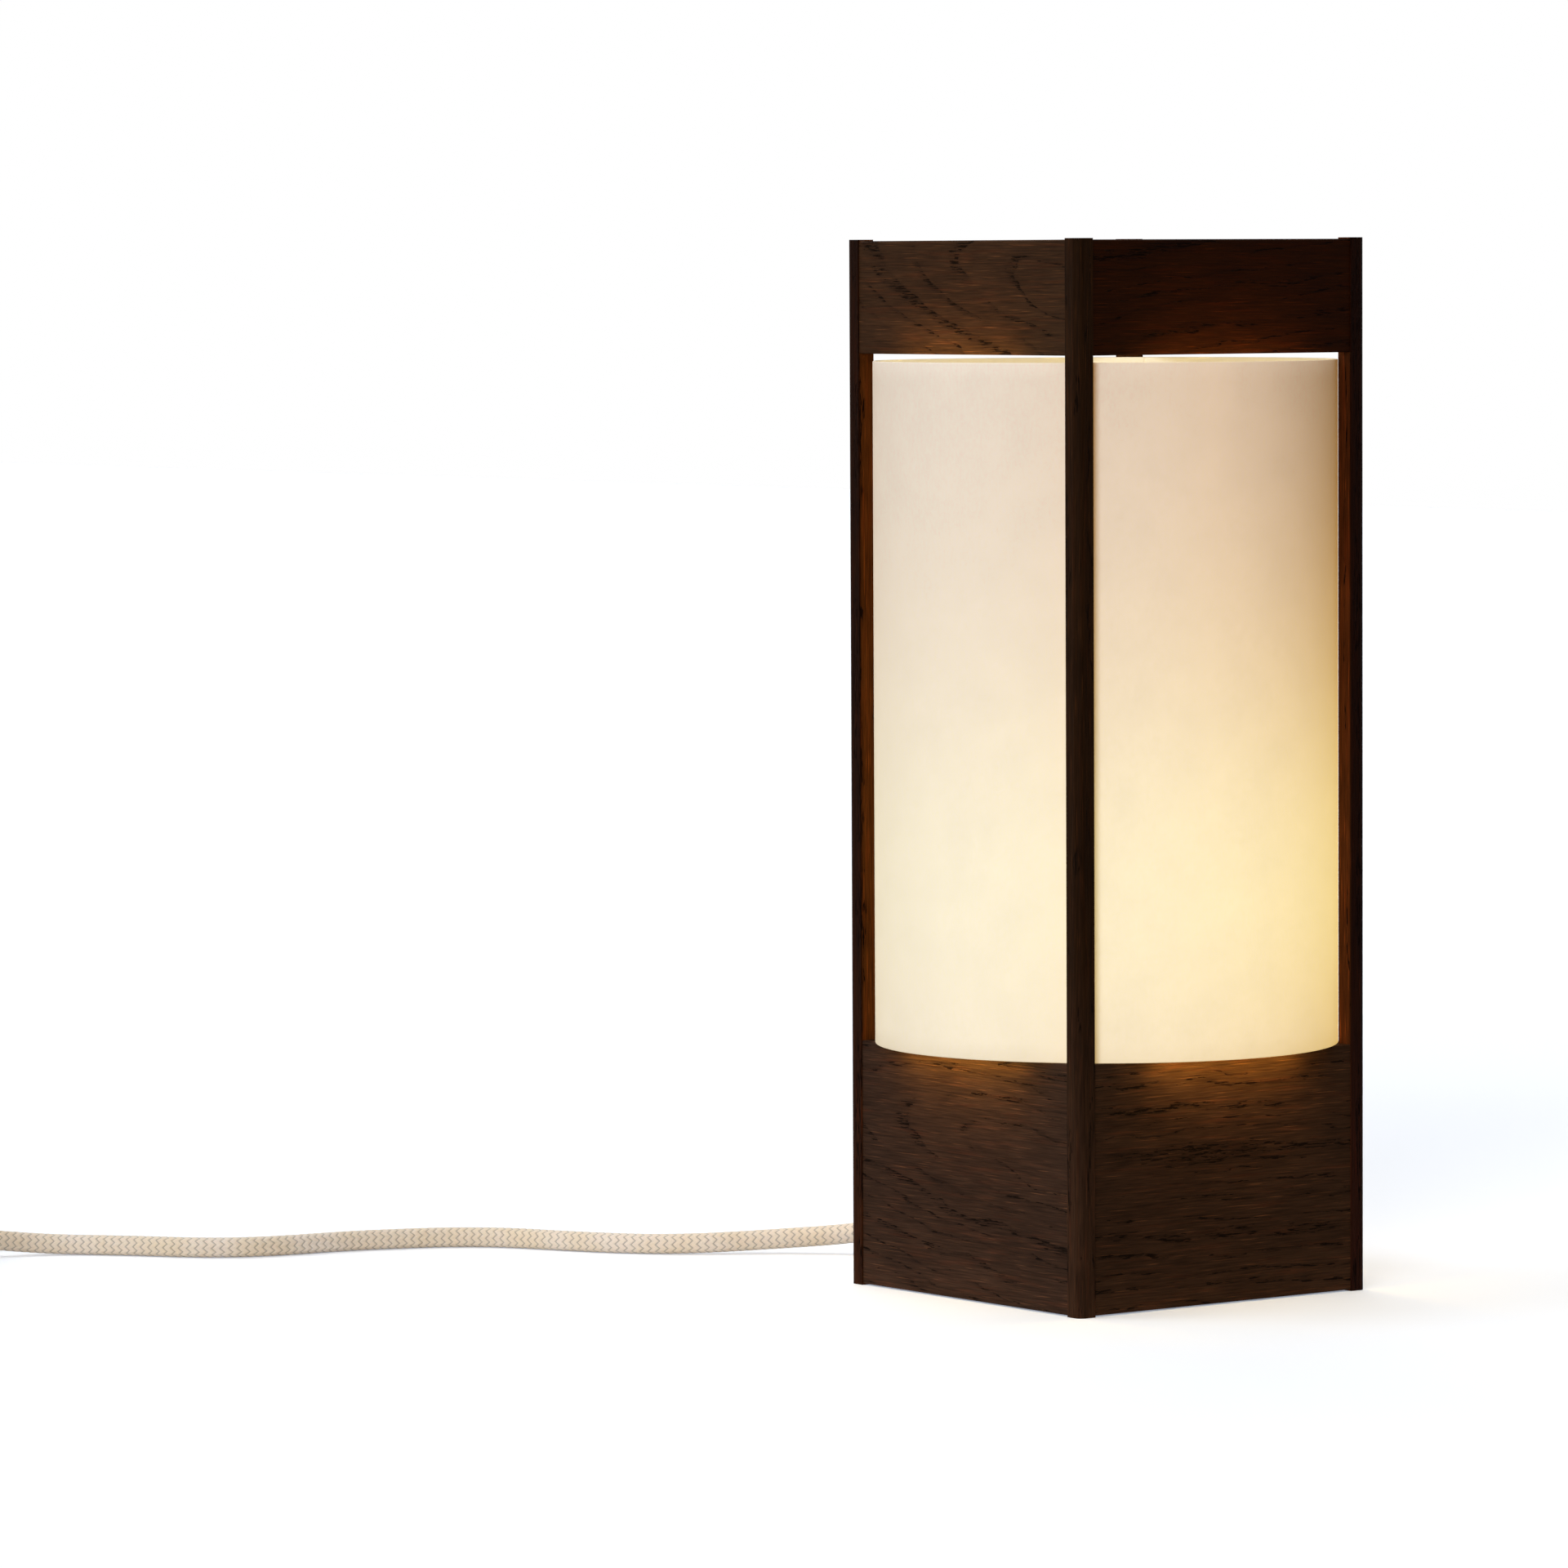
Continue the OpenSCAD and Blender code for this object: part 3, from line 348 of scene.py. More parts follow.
def tie_strap():
    """A strap wound once round the coil's bundle and lapped over itself.

    Its path is a rectangle with round corners, read by the distance along it. With ease it steps out by its
    own thickness before the lap, and once more at its tip. Its section is a flat loop with round edges:
    cos ** 0.3 across, sin out.
    """
    low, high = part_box("coil_tie")
    thick = STRAP_THICK
    corner = STRAP_CORNER + thick / 2
    y0, y1 = low.y + thick / 2 + corner, high.y - thick / 2 - corner
    z0, z1 = low.z + thick / 2 + corner, high.z - thick / 2 - corner
    centres = np.array([(y0, z1), (y1, z1), (y1, z0), (y0, z0)])
    starts = np.radians([180, 90, 0, -90])
    bend = np.linspace(0, np.pi / 2, STRAP_CORNER_POINTS)
    loop = []
    outward = []
    for centre, start in zip(centres, starts):
        normal = np.stack([np.cos(start - bend), np.sin(start - bend)], axis=1)
        loop.append(centre + corner * normal)
        outward.append(normal)
    loop = np.vstack(loop + [loop[0][:1]])
    outward = np.vstack(outward + [outward[0][:1]])
    along = np.concatenate([[0], np.cumsum(np.linalg.norm(np.diff(loop, axis=0), axis=1))])
    s = np.arange(0, along[-1] + STRAP_LAP, STRAP_STEP)
    spot = s % along[-1]
    line = np.stack([np.interp(spot, along, loop[:, k]) for k in (0, 1)], axis=1)
    normal = np.stack([np.interp(spot, along, outward[:, k]) for k in (0, 1)], axis=1)
    normal /= np.linalg.norm(normal, axis=1, keepdims=True)
    step_out = STRAP_OVER * thick * ease((s - along[-1] + STRAP_CLIMB) / STRAP_CLIMB)
    lift = STRAP_TIP_RISE * ease((s - along[-1] - STRAP_LAP + STRAP_TIP) / STRAP_TIP)
    line += normal * (step_out + lift)[:, None]
    turn = np.linspace(0, 2 * np.pi, STRAP_SIDES, endpoint=False)
    width = np.sign(np.cos(turn)) * np.abs(np.cos(turn)) ** 0.3 * (high.x - low.x) / 2
    rise = np.sin(turn) * thick / 2
    mid_x = (low.x + high.x) / 2
    points = np.empty((len(s), len(turn), 3))
    points[..., 0] = mid_x + width
    points[..., 1:] = line[:, None] + rise[:, None] * normal[:, None]
    across = np.append(width, width[0])[None] / MM
    uv = np.stack(np.broadcast_arrays(s[:, None] / MM, across), axis=2)
    last = (len(s) - 1) * len(turn)
    caps = (range(len(turn) - 1, -1, -1), range(last, last + len(turn)))
    return surface("tie_strap", points, wrap_columns=True, caps=caps, uv=uv)


strap = tie_strap()
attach(strap, "lamp")
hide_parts("coil_tie")


def paper_cylinder():
    """The rolled sheet, whose inner end lies under its outer end behind the back post.

    The sheet's middle is at shade radius - wall / 2, less one wall (with ease over 8 degrees) where it lies
    under the lap. Between the posts it swells by 0.1 mm * (1 + cos(4 * angle)). Its section runs up the outer
    face, over a half round at the top edge, down the inner face and round the bottom edge.
    """
    wall = PAPER_WALL
    lap_turn = PAPER_LAP / SHADE_R
    start = LAP_AZIMUTH - lap_turn / 2
    angle = np.linspace(0, 2 * math.pi + lap_turn, PAPER_STEPS + 1)[:, None]
    under = 1 - ease((angle - lap_turn) / LAP_EASE)
    levels = np.linspace(SHADE_Z[0] + wall / 2, SHADE_Z[1] - wall / 2, PAPER_ROWS)
    half_round = np.linspace(0, np.pi, RIM_ROWS + 2)[1:-1]
    heights = np.concatenate([levels, levels[-1] + wall / 2 * np.sin(half_round),
                              levels[::-1], levels[0] - wall / 2 * np.sin(half_round)])
    rim = wall / 2 * np.cos(half_round)
    sides = np.concatenate([np.full(PAPER_ROWS, wall / 2), rim, np.full(PAPER_ROWS, -wall / 2), -rim])
    swell = PAPER_SWELL * (1 + np.cos(4 * (start + angle)))
    radius = SHADE_R - wall / 2 - wall * under + swell * (1 - under) + sides
    points = np.stack(np.broadcast_arrays(radius * np.cos(start + angle), radius * np.sin(start + angle),
                                          heights), axis=2)
    count = 2 * (PAPER_ROWS + RIM_ROWS)
    inner = count - RIM_ROWS - 1
    end = [(k, k + 1, inner - 1 - k, inner - k) for k in range(PAPER_ROWS - 1)]
    end += [tuple(range(PAPER_ROWS - 1, PAPER_ROWS + RIM_ROWS + 1)), tuple(range(inner, count)) + (0,)]
    caps = [face[::-1] for face in end] + [tuple(k + PAPER_STEPS * count for k in face) for face in end]
    piece = surface("paper_cylinder", points, wrap_columns=True, caps=caps)
    inside = np.broadcast_to((sides < 0).astype(float), points.shape[:2]).reshape(-1)
    piece.data.attributes.new("inside", "FLOAT", "POINT").data.foreach_set("value", inside)
    return piece


paper = paper_cylinder()
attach(paper, "lamp")
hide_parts("shade")


# The wood's rings, by how early each part of a ring is, and how much they wander and differ in width
RING_MM = 5.4
EARLY_WOOD = ((0.0, 1), (0.12, 0.8), (0.26, 0), (0.94, 0), (1.0, 1))
WANDER_MM = (45, 16, 16)
WANDER_BY_MM = (0, 10, 5)
RIPPLE_MM = (12, 5, 5)
RIPPLE_BY_MM = (0, 2.4, 1)
UNEVEN_MM = 9
UNEVEN_RINGS = 1.5

# The sizes of the wood's other patterns along, across and into a board
PATCH_MM = (34, 13, 13)
PORE_MM = (6, 0.55, 0.55)
FIBRE_MM = (14, 0.6, 0.6)
STREAK_MM = (26, 1.8, 1.8)
SCRATCH_GLINT_MM = (15, 0.4, 0.4)
BROAD_MM = (28, 8, 8)
PORE_DEPTH = 0.3 * MM

# The posts: heights over which a painted shade darkens them, how far from the axis their inner sides are,
# where a painted glow lightens them, and both tints
POST_PAINTED_SHADE_MM = (50.0, 120.0)
PAINTED_GLOW_SIDE_MM = (84.6, 84.0)
PAINTED_SHADE_TINT = (0.5, 0.44, 0.3)
PAINTED_GLOW_TINT = (2.4, 2.2, 1.0)


def stained_ash(name, colour, grain, eye_mm, lean, turn, seed):
    """Ash with an open-pored dark stain and an oil finish: dull, with pores as black dashes in bands.

    A growth ring is a shell round a point: the distance from eye_mm, with the grain direction shortened by
    lean and turned by turn, over RING_MM, plus up to one and a half rings of slow noise of that distance.
    A small lean gives long parallel bands, and a larger one closes them to arches.
    """
    made, tree, shader = material(name, colour, 0.6, Specular_IOR_Level=0.02)
    order = {"X": ("X", "Z", "Y"), "Y": ("Y", "Z", "X"), "Z": ("Z", "X", "Y")}[grain]
    place = put(tree, "TexCoord", out="Object")
    axes = put(tree, "SeparateXYZ", {0: place}).node.outputs
    along = put(tree, "CombineXYZ", {"X": axes[order[0]], "Y": axes[order[1]], "Z": axes[order[2]]})
    in_mm = put(tree, "VectorMath", {0: along, 1: THOUSAND}, operation="MULTIPLY")
    seeded = put(tree, "VectorMath", {0: in_mm, 1: (seed, seed * 0.7, seed * 1.3)}, operation="ADD")

    def noise(size_mm, detail, out="Fac"):
        # Noise stretched along the grain; size_mm is its size along, across and into the board
        scaled = put(tree, "VectorMath", {0: seeded, 1: tuple(1 / s for s in size_mm)}, operation="MULTIPLY")
        return put(tree, "TexNoise", {"Vector": scaled, "Scale": 1.0, "Detail": detail, "Roughness": 0.6},
                   out=out)

    # Rings: where this place is in its growth ring, and how early its wood is
    bent = put(tree, "VectorMath", {0: noise(WANDER_MM, 2.0, "Color"), 1: WANDER_BY_MM, 2: in_mm},
               operation="MULTIPLY_ADD")
    bent = put(tree, "VectorMath", {0: noise(RIPPLE_MM, 2.0, "Color"), 1: RIPPLE_BY_MM, 2: bent},
               operation="MULTIPLY_ADD")
    shells = put(tree, "Mapping", {"Vector": bent, "Location": eye_mm, "Rotation": (0, 0, turn),
                                   "Scale": (1 / lean, 1, 1)}, vector_type="TEXTURE")
    ring = put(tree, "VectorMath", {0: shells}, out="Value", operation="LENGTH")
    slow = put(tree, "Math", {0: ring, 1: 1 / UNEVEN_MM}, operation="MULTIPLY")
    uneven = put(tree, "TexNoise", {"W": slow, "Scale": 1.0, "Detail": 1.0}, noise_dimensions="1D")
    drift = put(tree, "Math", {0: uneven, 1: UNEVEN_RINGS}, operation="MULTIPLY")
    turns = put(tree, "Math", {0: ring, 1: 1 / RING_MM, 2: drift}, operation="MULTIPLY_ADD")
    early = put(tree, "ValToRGB", {0: put(tree, "Math", {0: turns}, operation="FRACT")},
                stops=[(part, (level, level, level, 1)) for part, level in EARLY_WOOD])
    patch = put(tree, "MapRange", {"Value": noise(PATCH_MM, 2.0), "From Min": 0.3, "From Max": 0.52})
    early = put(tree, "Math", {0: early, 1: patch}, operation="MULTIPLY")

    # Pores, twice as coarse as real so that they show, dense in the early wood
    limit = put(tree, "Math", {0: early, 1: -0.27, 2: 0.77}, operation="MULTIPLY_ADD")
    past = put(tree, "Math", {0: noise(PORE_MM, 2.0), 1: limit}, operation="SUBTRACT")
    pore = put(tree, "MapRange", {"Value": past, "From Min": 0.0, "From Max": 0.05})

    # Stain: a few reddish streaks where it took less, and thin scratches painted lighter, partly marks in the
    # stain and partly a painted highlight where they catch the light
    base = linear(colour)

    def stain(*factors):
        # The stain's colour with each channel times its factor
        return tuple(min(1.0, v * k) for v, k in zip(base, factors)) + (1.0,)

    streak = put(tree, "MapRange", {"Value": noise(STREAK_MM, 3.0), "From Min": 0.54, "From Max": 0.76,
                                    "To Max": 0.6})
    toned = put(tree, "Mix", {0: streak, 6: base, 7: stain(2.0, 1.4, 1.2)}, out=2, data_type="RGBA")
    scratch_glint = put(tree, "MapRange", {"Value": noise(SCRATCH_GLINT_MM, 1.0), "From Min": 0.64, "From Max": 0.74,
                                     "To Max": 0.8})
    toned = put(tree, "Mix", {0: scratch_glint, 6: toned, 7: stain(3.0, 2.6, 2.2)}, out=2, data_type="RGBA")
    if grain == "Z":
        # Painted shade: a post is darker above the lower boards. Painted glow: its sides towards the paper
        # are lighter and warmer, as if lit by the paper
        up_mm = put(tree, "SeparateXYZ", {0: in_mm}, out="X")
        above = put(tree, "MapRange", {"Value": up_mm, "From Min": POST_PAINTED_SHADE_MM[0], "From Max": POST_PAINTED_SHADE_MM[1]})
        upper = put(tree, "VectorMath", {0: toned, 1: PAINTED_SHADE_TINT}, operation="MULTIPLY")
        outer = put(tree, "Mix", {0: above, 6: toned, 7: upper}, out=2, data_type="RGBA")
        flat = put(tree, "VectorMath", {0: in_mm, 1: (0, 1, 1)}, operation="MULTIPLY")
        from_axis = put(tree, "VectorMath", {0: flat}, out="Value", operation="LENGTH")
        bare = put(tree, "MapRange", {"Value": from_axis, "From Min": PAINTED_GLOW_SIDE_MM[0],
                                      "From Max": PAINTED_GLOW_SIDE_MM[1]})
        inner = put(tree, "VectorMath", {0: toned, 1: PAINTED_GLOW_TINT}, operation="MULTIPLY")
        toned = put(tree, "Mix", {0: bare, 6: outer, 7: inner}, out=2, data_type="RGBA")

    # Fibres, twice as coarse as real so that they show, and a slow change of tone along the board
    fibre = noise(FIBRE_MM, 3.0)
    fine = put(tree, "MapRange", {"Value": fibre, "From Min": 0.32, "From Max": 0.68, "To Min": 0.66,
                                  "To Max": 1.34})
    broad = put(tree, "MapRange", {"Value": noise(BROAD_MM, 2.0), "From Min": 0.3, "From Max": 0.7,
                                   "To Min": 0.8, "To Max": 1.2})
    tone = put(tree, "Math", {0: fine, 1: broad}, operation="MULTIPLY")
    shaded = put(tree, "Math", {0: early, 1: -0.22, 2: tone}, operation="MULTIPLY_ADD")
    lit = put(tree, "VectorMath", {0: toned, 1: shaded}, operation="MULTIPLY")
    filled = put(tree, "Mix", {0: pore, 6: lit, 7: stain(0.2, 0.2, 0.2)}, out=2, data_type="RGBA")
    tree.links.new(filled, shader.inputs["Base Color"])
    rough = put(tree, "Math", {0: pore, 1: 0.25, 2: 0.55}, operation="MULTIPLY_ADD")
    tree.links.new(rough, shader.inputs["Roughness"])
    ribs = put(tree, "Math", {0: fibre, 1: 0.6}, operation="MULTIPLY")
    height = put(tree, "Math", {0: pore, 1: -1.0, 2: ribs}, operation="MULTIPLY_ADD")
    bump = put(tree, "Bump", {"Height": height, "Strength": 0.8, "Distance": PORE_DEPTH}, out="Normal")
    tree.links.new(bump, shader.inputs["Normal"])
    return made


# Each board has its own piece of the tree: its colour, grain direction, the rings' eye, lean and turn
BOARDS = (
    ("lower_panel_left", "#3b281d", "Y", (-45, 58, -52), 0.2, 0.13),
    ("lower_panel_front", "#3b2618", "X", (-150, -60, -30), 0.09, -0.02),
    ("lower_panel_right", "#432a1d", "Y", (-30, 20, 50), 0.3, 0.05),
    ("lower_panel_back", "#412a1d", "X", (90, 110, 40), 0.12, 0.0),
    ("upper_panel_left", "#3c2718", "Y", (-60, 348, -52), 0.25, 0.2),
    # Painted shade: the front upper board's colour is darker than the others, where less light falls
    ("upper_panel_front", "#250e03", "X", (20, 300, -40), 0.2, 0.08),
    ("upper_panel_right", "#3c271b", "Y", (70, 300, 40), 0.2, 0.0),
    ("upper_panel_back", "#3a251a", "X", (-60, 350, 40), 0.14, 0.0),
    ("post_front_left", "#392417", "Z", (180, 20, 0), 0.03, 0.0),
    ("post_front_right", "#2d150d", "Z", (90, 30, 0), 0.03, 0.0),
    ("post_back_left", "#31180a", "Z", (240, -20, 0), 0.03, 0.0),
    ("post_back_right", "#35231a", "Z", (40, -30, 0), 0.03, 0.0),
)
for number, (node_name, *board) in enumerate(BOARDS, 1):
    dress(stained_ash("ash_" + node_name, *board, seed=20 * number), node_name)


# The bulb's light through the paper, painted as the paper's own glow: how far it reaches up, the side where
# it is painted strongest, and its parts
GLOW_REACH = 0.14
GLOW_SIDE = (0.944, -0.329)
GLOW_THROUGH = 0.83
GLOW_WITHIN = (0.24, 0.22)


def washi_laminate():
    """Washi paper laminated on a film: matt, with fine fibres, and a painted glow that stands in for the
    bulb's light through it.

    The painted glow of the bulb's light on the wall is near = (1 + (height from the bulb / reach)^2)^-1.5.
    What is painted as coming through is side * (0.83 * near + even * (1 - near)), where side and the even
    part
    go by the place round the paper: the painted glow is strongest, and falls most with height, on the side
    away from the window.
    """
    made, tree, shader = material("washi_laminate", "#f1efe6", 0.7, Specular_IOR_Level=0.1)
    place = put(tree, "TexCoord", out="Object")
    height = put(tree, "SeparateXYZ", {0: place}, out="Z")
    away = put(tree, "Math", {0: height, 1: 1 / GLOW_REACH, 2: -BULB_MID / GLOW_REACH},
               operation="MULTIPLY_ADD")
    square = put(tree, "Math", {0: away, 1: away, 2: 1.0}, operation="MULTIPLY_ADD")
    near = put(tree, "Math", {0: square, 1: -1.5}, operation="POWER")
    around = put(tree, "VectorMath", {0: place, 1: (GLOW_SIDE[0] / SHADE_R, GLOW_SIDE[1] / SHADE_R, 0)},
                 out="Value", operation="DOT_PRODUCT")
    side = put(tree, "Math", {0: around, 1: 0.3, 2: 0.74}, operation="MULTIPLY_ADD")
    even = put(tree, "MapRange", {"Value": around, "From Min": 0.1, "From Max": 0.9, "To Min": 0.34,
                                  "To Max": 0.03})

    # Fibres are the thin lines where a bent noise crosses its middle, and clouds are 14 mm across
    bent = put(tree, "TexNoise", {"Vector": place, "Scale": 260.0, "Detail": 2.0, "Distortion": 1.2})
    line = put(tree, "Math", {0: bent, 1: 0.5, 2: 0.035}, operation="COMPARE")
    cloud = put(tree, "TexNoise", {"Vector": place, "Scale": 70.0, "Detail": 4.0, "Roughness": 0.6})
    upright = put(tree, "VectorMath", {0: place, 1: (1100, 1100, 350)}, operation="MULTIPLY")
    grit = put(tree, "TexNoise", {"Vector": upright, "Scale": 1.0, "Detail": 3.0, "Roughness": 0.7})
    mottle = put(tree, "Math", {0: cloud, 1: 0.12, 2: 0.9}, operation="MULTIPLY_ADD")
    mottle = put(tree, "Math", {0: grit, 1: 0.16, 2: mottle}, operation="MULTIPLY_ADD")
    mottle = put(tree, "Math", {0: line, 1: -0.02, 2: mottle}, operation="MULTIPLY_ADD")
    mottle = put(tree, "Math", {0: mottle, 1: 0.04}, operation="SUBTRACT")

    # Painted glow: the emission stands in for the bulb's light, warmer near the bulb, with its own glow on
    # the inner wall
    faint = put(tree, "Math", {0: put(tree, "Math", {0: 1.0, 1: near}, operation="SUBTRACT"), 1: even},
                operation="MULTIPLY")
    through = put(tree, "Math", {0: near, 1: GLOW_THROUGH, 2: faint}, operation="MULTIPLY_ADD")
    through = put(tree, "Math", {0: through, 1: side}, operation="MULTIPLY")
    inside = put(tree, "Attribute", out="Fac", attribute_name="inside")
    within = put(tree, "Math", {0: near, 1: GLOW_WITHIN[0], 2: GLOW_WITHIN[1]}, operation="MULTIPLY_ADD")
    strength = put(tree, "Mix", {0: inside, 2: through, 3: within}, out=0, data_type="FLOAT")
    strength = put(tree, "Math", {0: strength, 1: mottle}, operation="MULTIPLY")
    warm = put(tree, "MapRange", {"Value": near, "From Min": 0.2, "From Max": 1.0})
    warmth = put(tree, "Mix", {0: warm, 6: linear("#ffb23f"), 7: linear("#ffde8a")}, out=2, data_type="RGBA")
    glow = put(tree, "Mix", {0: inside, 6: warmth, 7: linear("#ffe6b0")}, out=2, data_type="RGBA")
    tree.links.new(glow, shader.inputs["Emission Color"])
    tree.links.new(strength, shader.inputs["Emission Strength"])
    colour = put(tree, "VectorMath", {0: linear("#f1efe6")[:3], 1: mottle}, operation="MULTIPLY")
    tree.links.new(colour, shader.inputs["Base Color"])
    bump = put(tree, "Bump", {"Height": grit, "Strength": 0.25, "Distance": 0.0001}, out="Normal")
    tree.links.new(bump, shader.inputs["Normal"])
    return made


paper.data.materials.append(washi_laminate())


def braided_cotton(name, on_surface):
    """Cream cotton braid: matt and slightly hairy, with a painted shade that darkens it in the gaps between
    the yarns.

    The phase is the braided tube's own. On the surface's UV map u is length / pitch and v goes once round.
    On a CAD cylinder along Y the same numbers come from Object coordinates.
    """
    made, tree, shader = material(name, "#f0e0cd", 0.9, Sheen_Weight=0.3, Sheen_Roughness=0.5,
                                  Specular_IOR_Level=0.15, Subsurface_Weight=0.4,
                                  Subsurface_Radius=(1.0, 0.85, 0.65), Subsurface_Scale=2.5 * MM)
    if on_surface:
        axes = put(tree, "SeparateXYZ", {0: put(tree, "TexCoord", out="UV")}).node.outputs
        length, turn = axes["X"], axes["Y"]
    else:
        axes = put(tree, "SeparateXYZ", {0: put(tree, "TexCoord", out="Object")}).node.outputs
        length = put(tree, "Math", {0: axes["Y"], 1: BRAID_PITCH}, operation="DIVIDE")
        above = put(tree, "Math", {0: axes["Z"], 1: LEAD_ROUTE[0][2]}, operation="SUBTRACT")
        angle = put(tree, "Math", {0: above, 1: axes["X"]}, operation="ARCTAN2")
        turn = put(tree, "Math", {0: angle, 1: 1 / (2 * math.pi), 2: 0.5}, operation="MULTIPLY_ADD")
    column = put(tree, "Math", {0: turn, 1: BRAID_COLUMNS}, operation="MULTIPLY")
    folded = put(tree, "Math", {0: column, 1: 1.0}, operation="PINGPONG")
    phase = put(tree, "Math", {0: folded, 1: 0.5, 2: length}, operation="MULTIPLY_ADD")
    half_turn = put(tree, "Math", {0: phase, 1: math.pi}, operation="MULTIPLY")
    wave = put(tree, "Math", {0: half_turn}, operation="SINE")
    rise = put(tree, "Math", {0: wave}, operation="ABSOLUTE")
    ridge = put(tree, "Math", {0: rise, 1: YARN_POWER}, operation="POWER")

    # Each yarn is four threads side by side
    thread_turn = put(tree, "Math", {0: phase, 1: 2 * math.pi * YARN_THREADS}, operation="MULTIPLY")
    threads = put(tree, "Math", {0: thread_turn}, operation="SINE")
    spots = put(tree, "TexCoord", out="Object")
    fuzz = put(tree, "TexNoise", {"Vector": spots, "Scale": 1400.0, "Detail": 3.0, "Roughness": 0.7})
    stain = put(tree, "TexNoise", {"Vector": spots, "Scale": 60.0, "Detail": 3.0})
    # Painted shade: the colour is darker where the relief is low, between the yarns and between their threads
    light = put(tree, "MapRange", {"Value": ridge, "From Min": 0.15, "From Max": 0.75,
                                   "To Min": 0.5, "To Max": 1.0})
    light = put(tree, "Math", {0: threads, 1: 0.035, 2: light}, operation="MULTIPLY_ADD")
    light = put(tree, "Math", {0: fuzz, 1: 0.3, 2: light}, operation="MULTIPLY_ADD")
    light = put(tree, "Math", {0: light, 1: 0.15}, operation="SUBTRACT")
    tone = put(tree, "MapRange", {"Value": stain, "From Min": 0.35, "From Max": 0.65})
    cream = put(tree, "Mix", {0: tone, 6: linear("#f4e4d3"), 7: linear("#efdcc2")}, out=2, data_type="RGBA")
    tree.links.new(put(tree, "VectorMath", {0: cream, 1: light}, operation="MULTIPLY"),
                   shader.inputs["Base Color"])
    height = put(tree, "Math", {0: threads, 1: 0.12, 2: ridge}, operation="MULTIPLY_ADD")
    height = put(tree, "Math", {0: fuzz, 1: 0.3, 2: height}, operation="MULTIPLY_ADD")
    bump = put(tree, "Bump", {"Height": height, "Strength": 0.7, "Distance": 0.00018}, out="Normal")
    tree.links.new(bump, shader.inputs["Normal"])
    return made


braid = braided_cotton("braided_cotton", True)
lead.data.materials.append(braid)
coil.data.materials.append(braid)
dress(braided_cotton("braided_cotton_in_sleeve", False), "cord_inner")


# Plywood: the thickness of a ply, and the figure's size along x, y and z
PLY_MM = 1.4
FIGURE_MM = (22, 1.6, 6)


def birch_plywood():
    """Sanded birch plywood: pale faces with a soft figure, and thin plies that alternate in tone."""
    made, tree, shader = material("birch_plywood", "#c9a878", 0.6, Specular_IOR_Level=0.3)
    place = put(tree, "TexCoord", out="Object")
    in_mm = put(tree, "VectorMath", {0: place, 1: THOUSAND}, operation="MULTIPLY")
    height = put(tree, "SeparateXYZ", {0: in_mm}, out="Z")
    plies = put(tree, "Math", {0: height, 1: PLY_MM}, operation="DIVIDE")
    ply = put(tree, "Math", {0: plies, 1: 1.0}, operation="PINGPONG")
    band = put(tree, "MapRange", {"Value": ply, "From Min": 0.42, "From Max": 0.58})
    stretched = put(tree, "VectorMath", {0: in_mm, 1: tuple(1 / s for s in FIGURE_MM)}, operation="MULTIPLY")
    figure = put(tree, "TexNoise", {"Vector": stretched, "Scale": 1.0, "Detail": 4.0})
    pale = put(tree, "Mix", {0: figure, 6: linear("#d8bb8d"), 7: linear("#b8935f")}, out=2, data_type="RGBA")
    dark_ply = put(tree, "Math", {0: band, 1: 0.28}, operation="MULTIPLY")
    shaded = put(tree, "Mix", {0: dark_ply, 6: pale, 7: linear("#8a663c")}, out=2, data_type="RGBA")
    tree.links.new(shaded, shader.inputs["Base Color"])
    bump = put(tree, "Bump", {"Height": figure, "Strength": 0.2, "Distance": 0.0002}, out="Normal")
    tree.links.new(bump, shader.inputs["Normal"])
    return made


def stained_hardboard():
    """Dark hardboard: pressed wood fibre, dull, with a fine speckle."""
    made, tree, shader = material("stained_hardboard", "#33241b", 0.7, Specular_IOR_Level=0.3)
    place = put(tree, "TexCoord", out="Object")
    fibre = put(tree, "TexNoise", {"Vector": place, "Scale": 900.0, "Detail": 5.0, "Roughness": 0.7})
    colour = put(tree, "Mix", {0: fibre, 6: linear("#241711"), 7: linear("#4a3427")}, out=2, data_type="RGBA")
    tree.links.new(colour, shader.inputs["Base Color"])
    bump = put(tree, "Bump", {"Height": fibre, "Strength": 0.35, "Distance": 0.00015}, out="Normal")
    tree.links.new(bump, shader.inputs["Normal"])
    return made


# How wide the clouds in a moulded surface are
CLOUD_MM = 8


def moulded(name, colour, roughness, grain_mm, depth_mm, sway=0.06, **sockets):
    """A moulded or glazed surface: one colour with a slight cloudiness, and a fine grain in the gloss.

    The colour sways by sway from cloud to cloud, and the grain is noise grain_mm across and depth_mm deep.
    """
    made, tree, shader = material(name, colour, roughness, **sockets)
    place = put(tree, "TexCoord", out="Object")
    cloud = put(tree, "TexNoise", {"Vector": place, "Scale": 1 / (CLOUD_MM * MM), "Detail": 3.0})
    grain = put(tree, "TexNoise", {"Vector": place, "Scale": 1 / (grain_mm * MM), "Detail": 3.0})
    tone = put(tree, "MapRange", {"Value": cloud, "From Min": 0.3, "From Max": 0.7,
                                  "To Min": 1 - sway, "To Max": 1 + sway})
    tree.links.new(put(tree, "VectorMath", {0: linear(colour)[:3], 1: tone}, operation="MULTIPLY"),
                   shader.inputs["Base Color"])
    rough = put(tree, "MapRange", {"Value": grain, "From Min": 0.3, "From Max": 0.7,
                                   "To Min": roughness * 0.85, "To Max": min(1.0, roughness * 1.2)})
    tree.links.new(rough, shader.inputs["Roughness"])
    bump = put(tree, "Bump", {"Height": grain, "Strength": 0.5, "Distance": depth_mm * MM}, out="Normal")
    tree.links.new(bump, shader.inputs["Normal"])
    return made


# How often the marks of turning come in a metre, round the axis and along it
TOOL_MARKS = (200, 200, 4200)


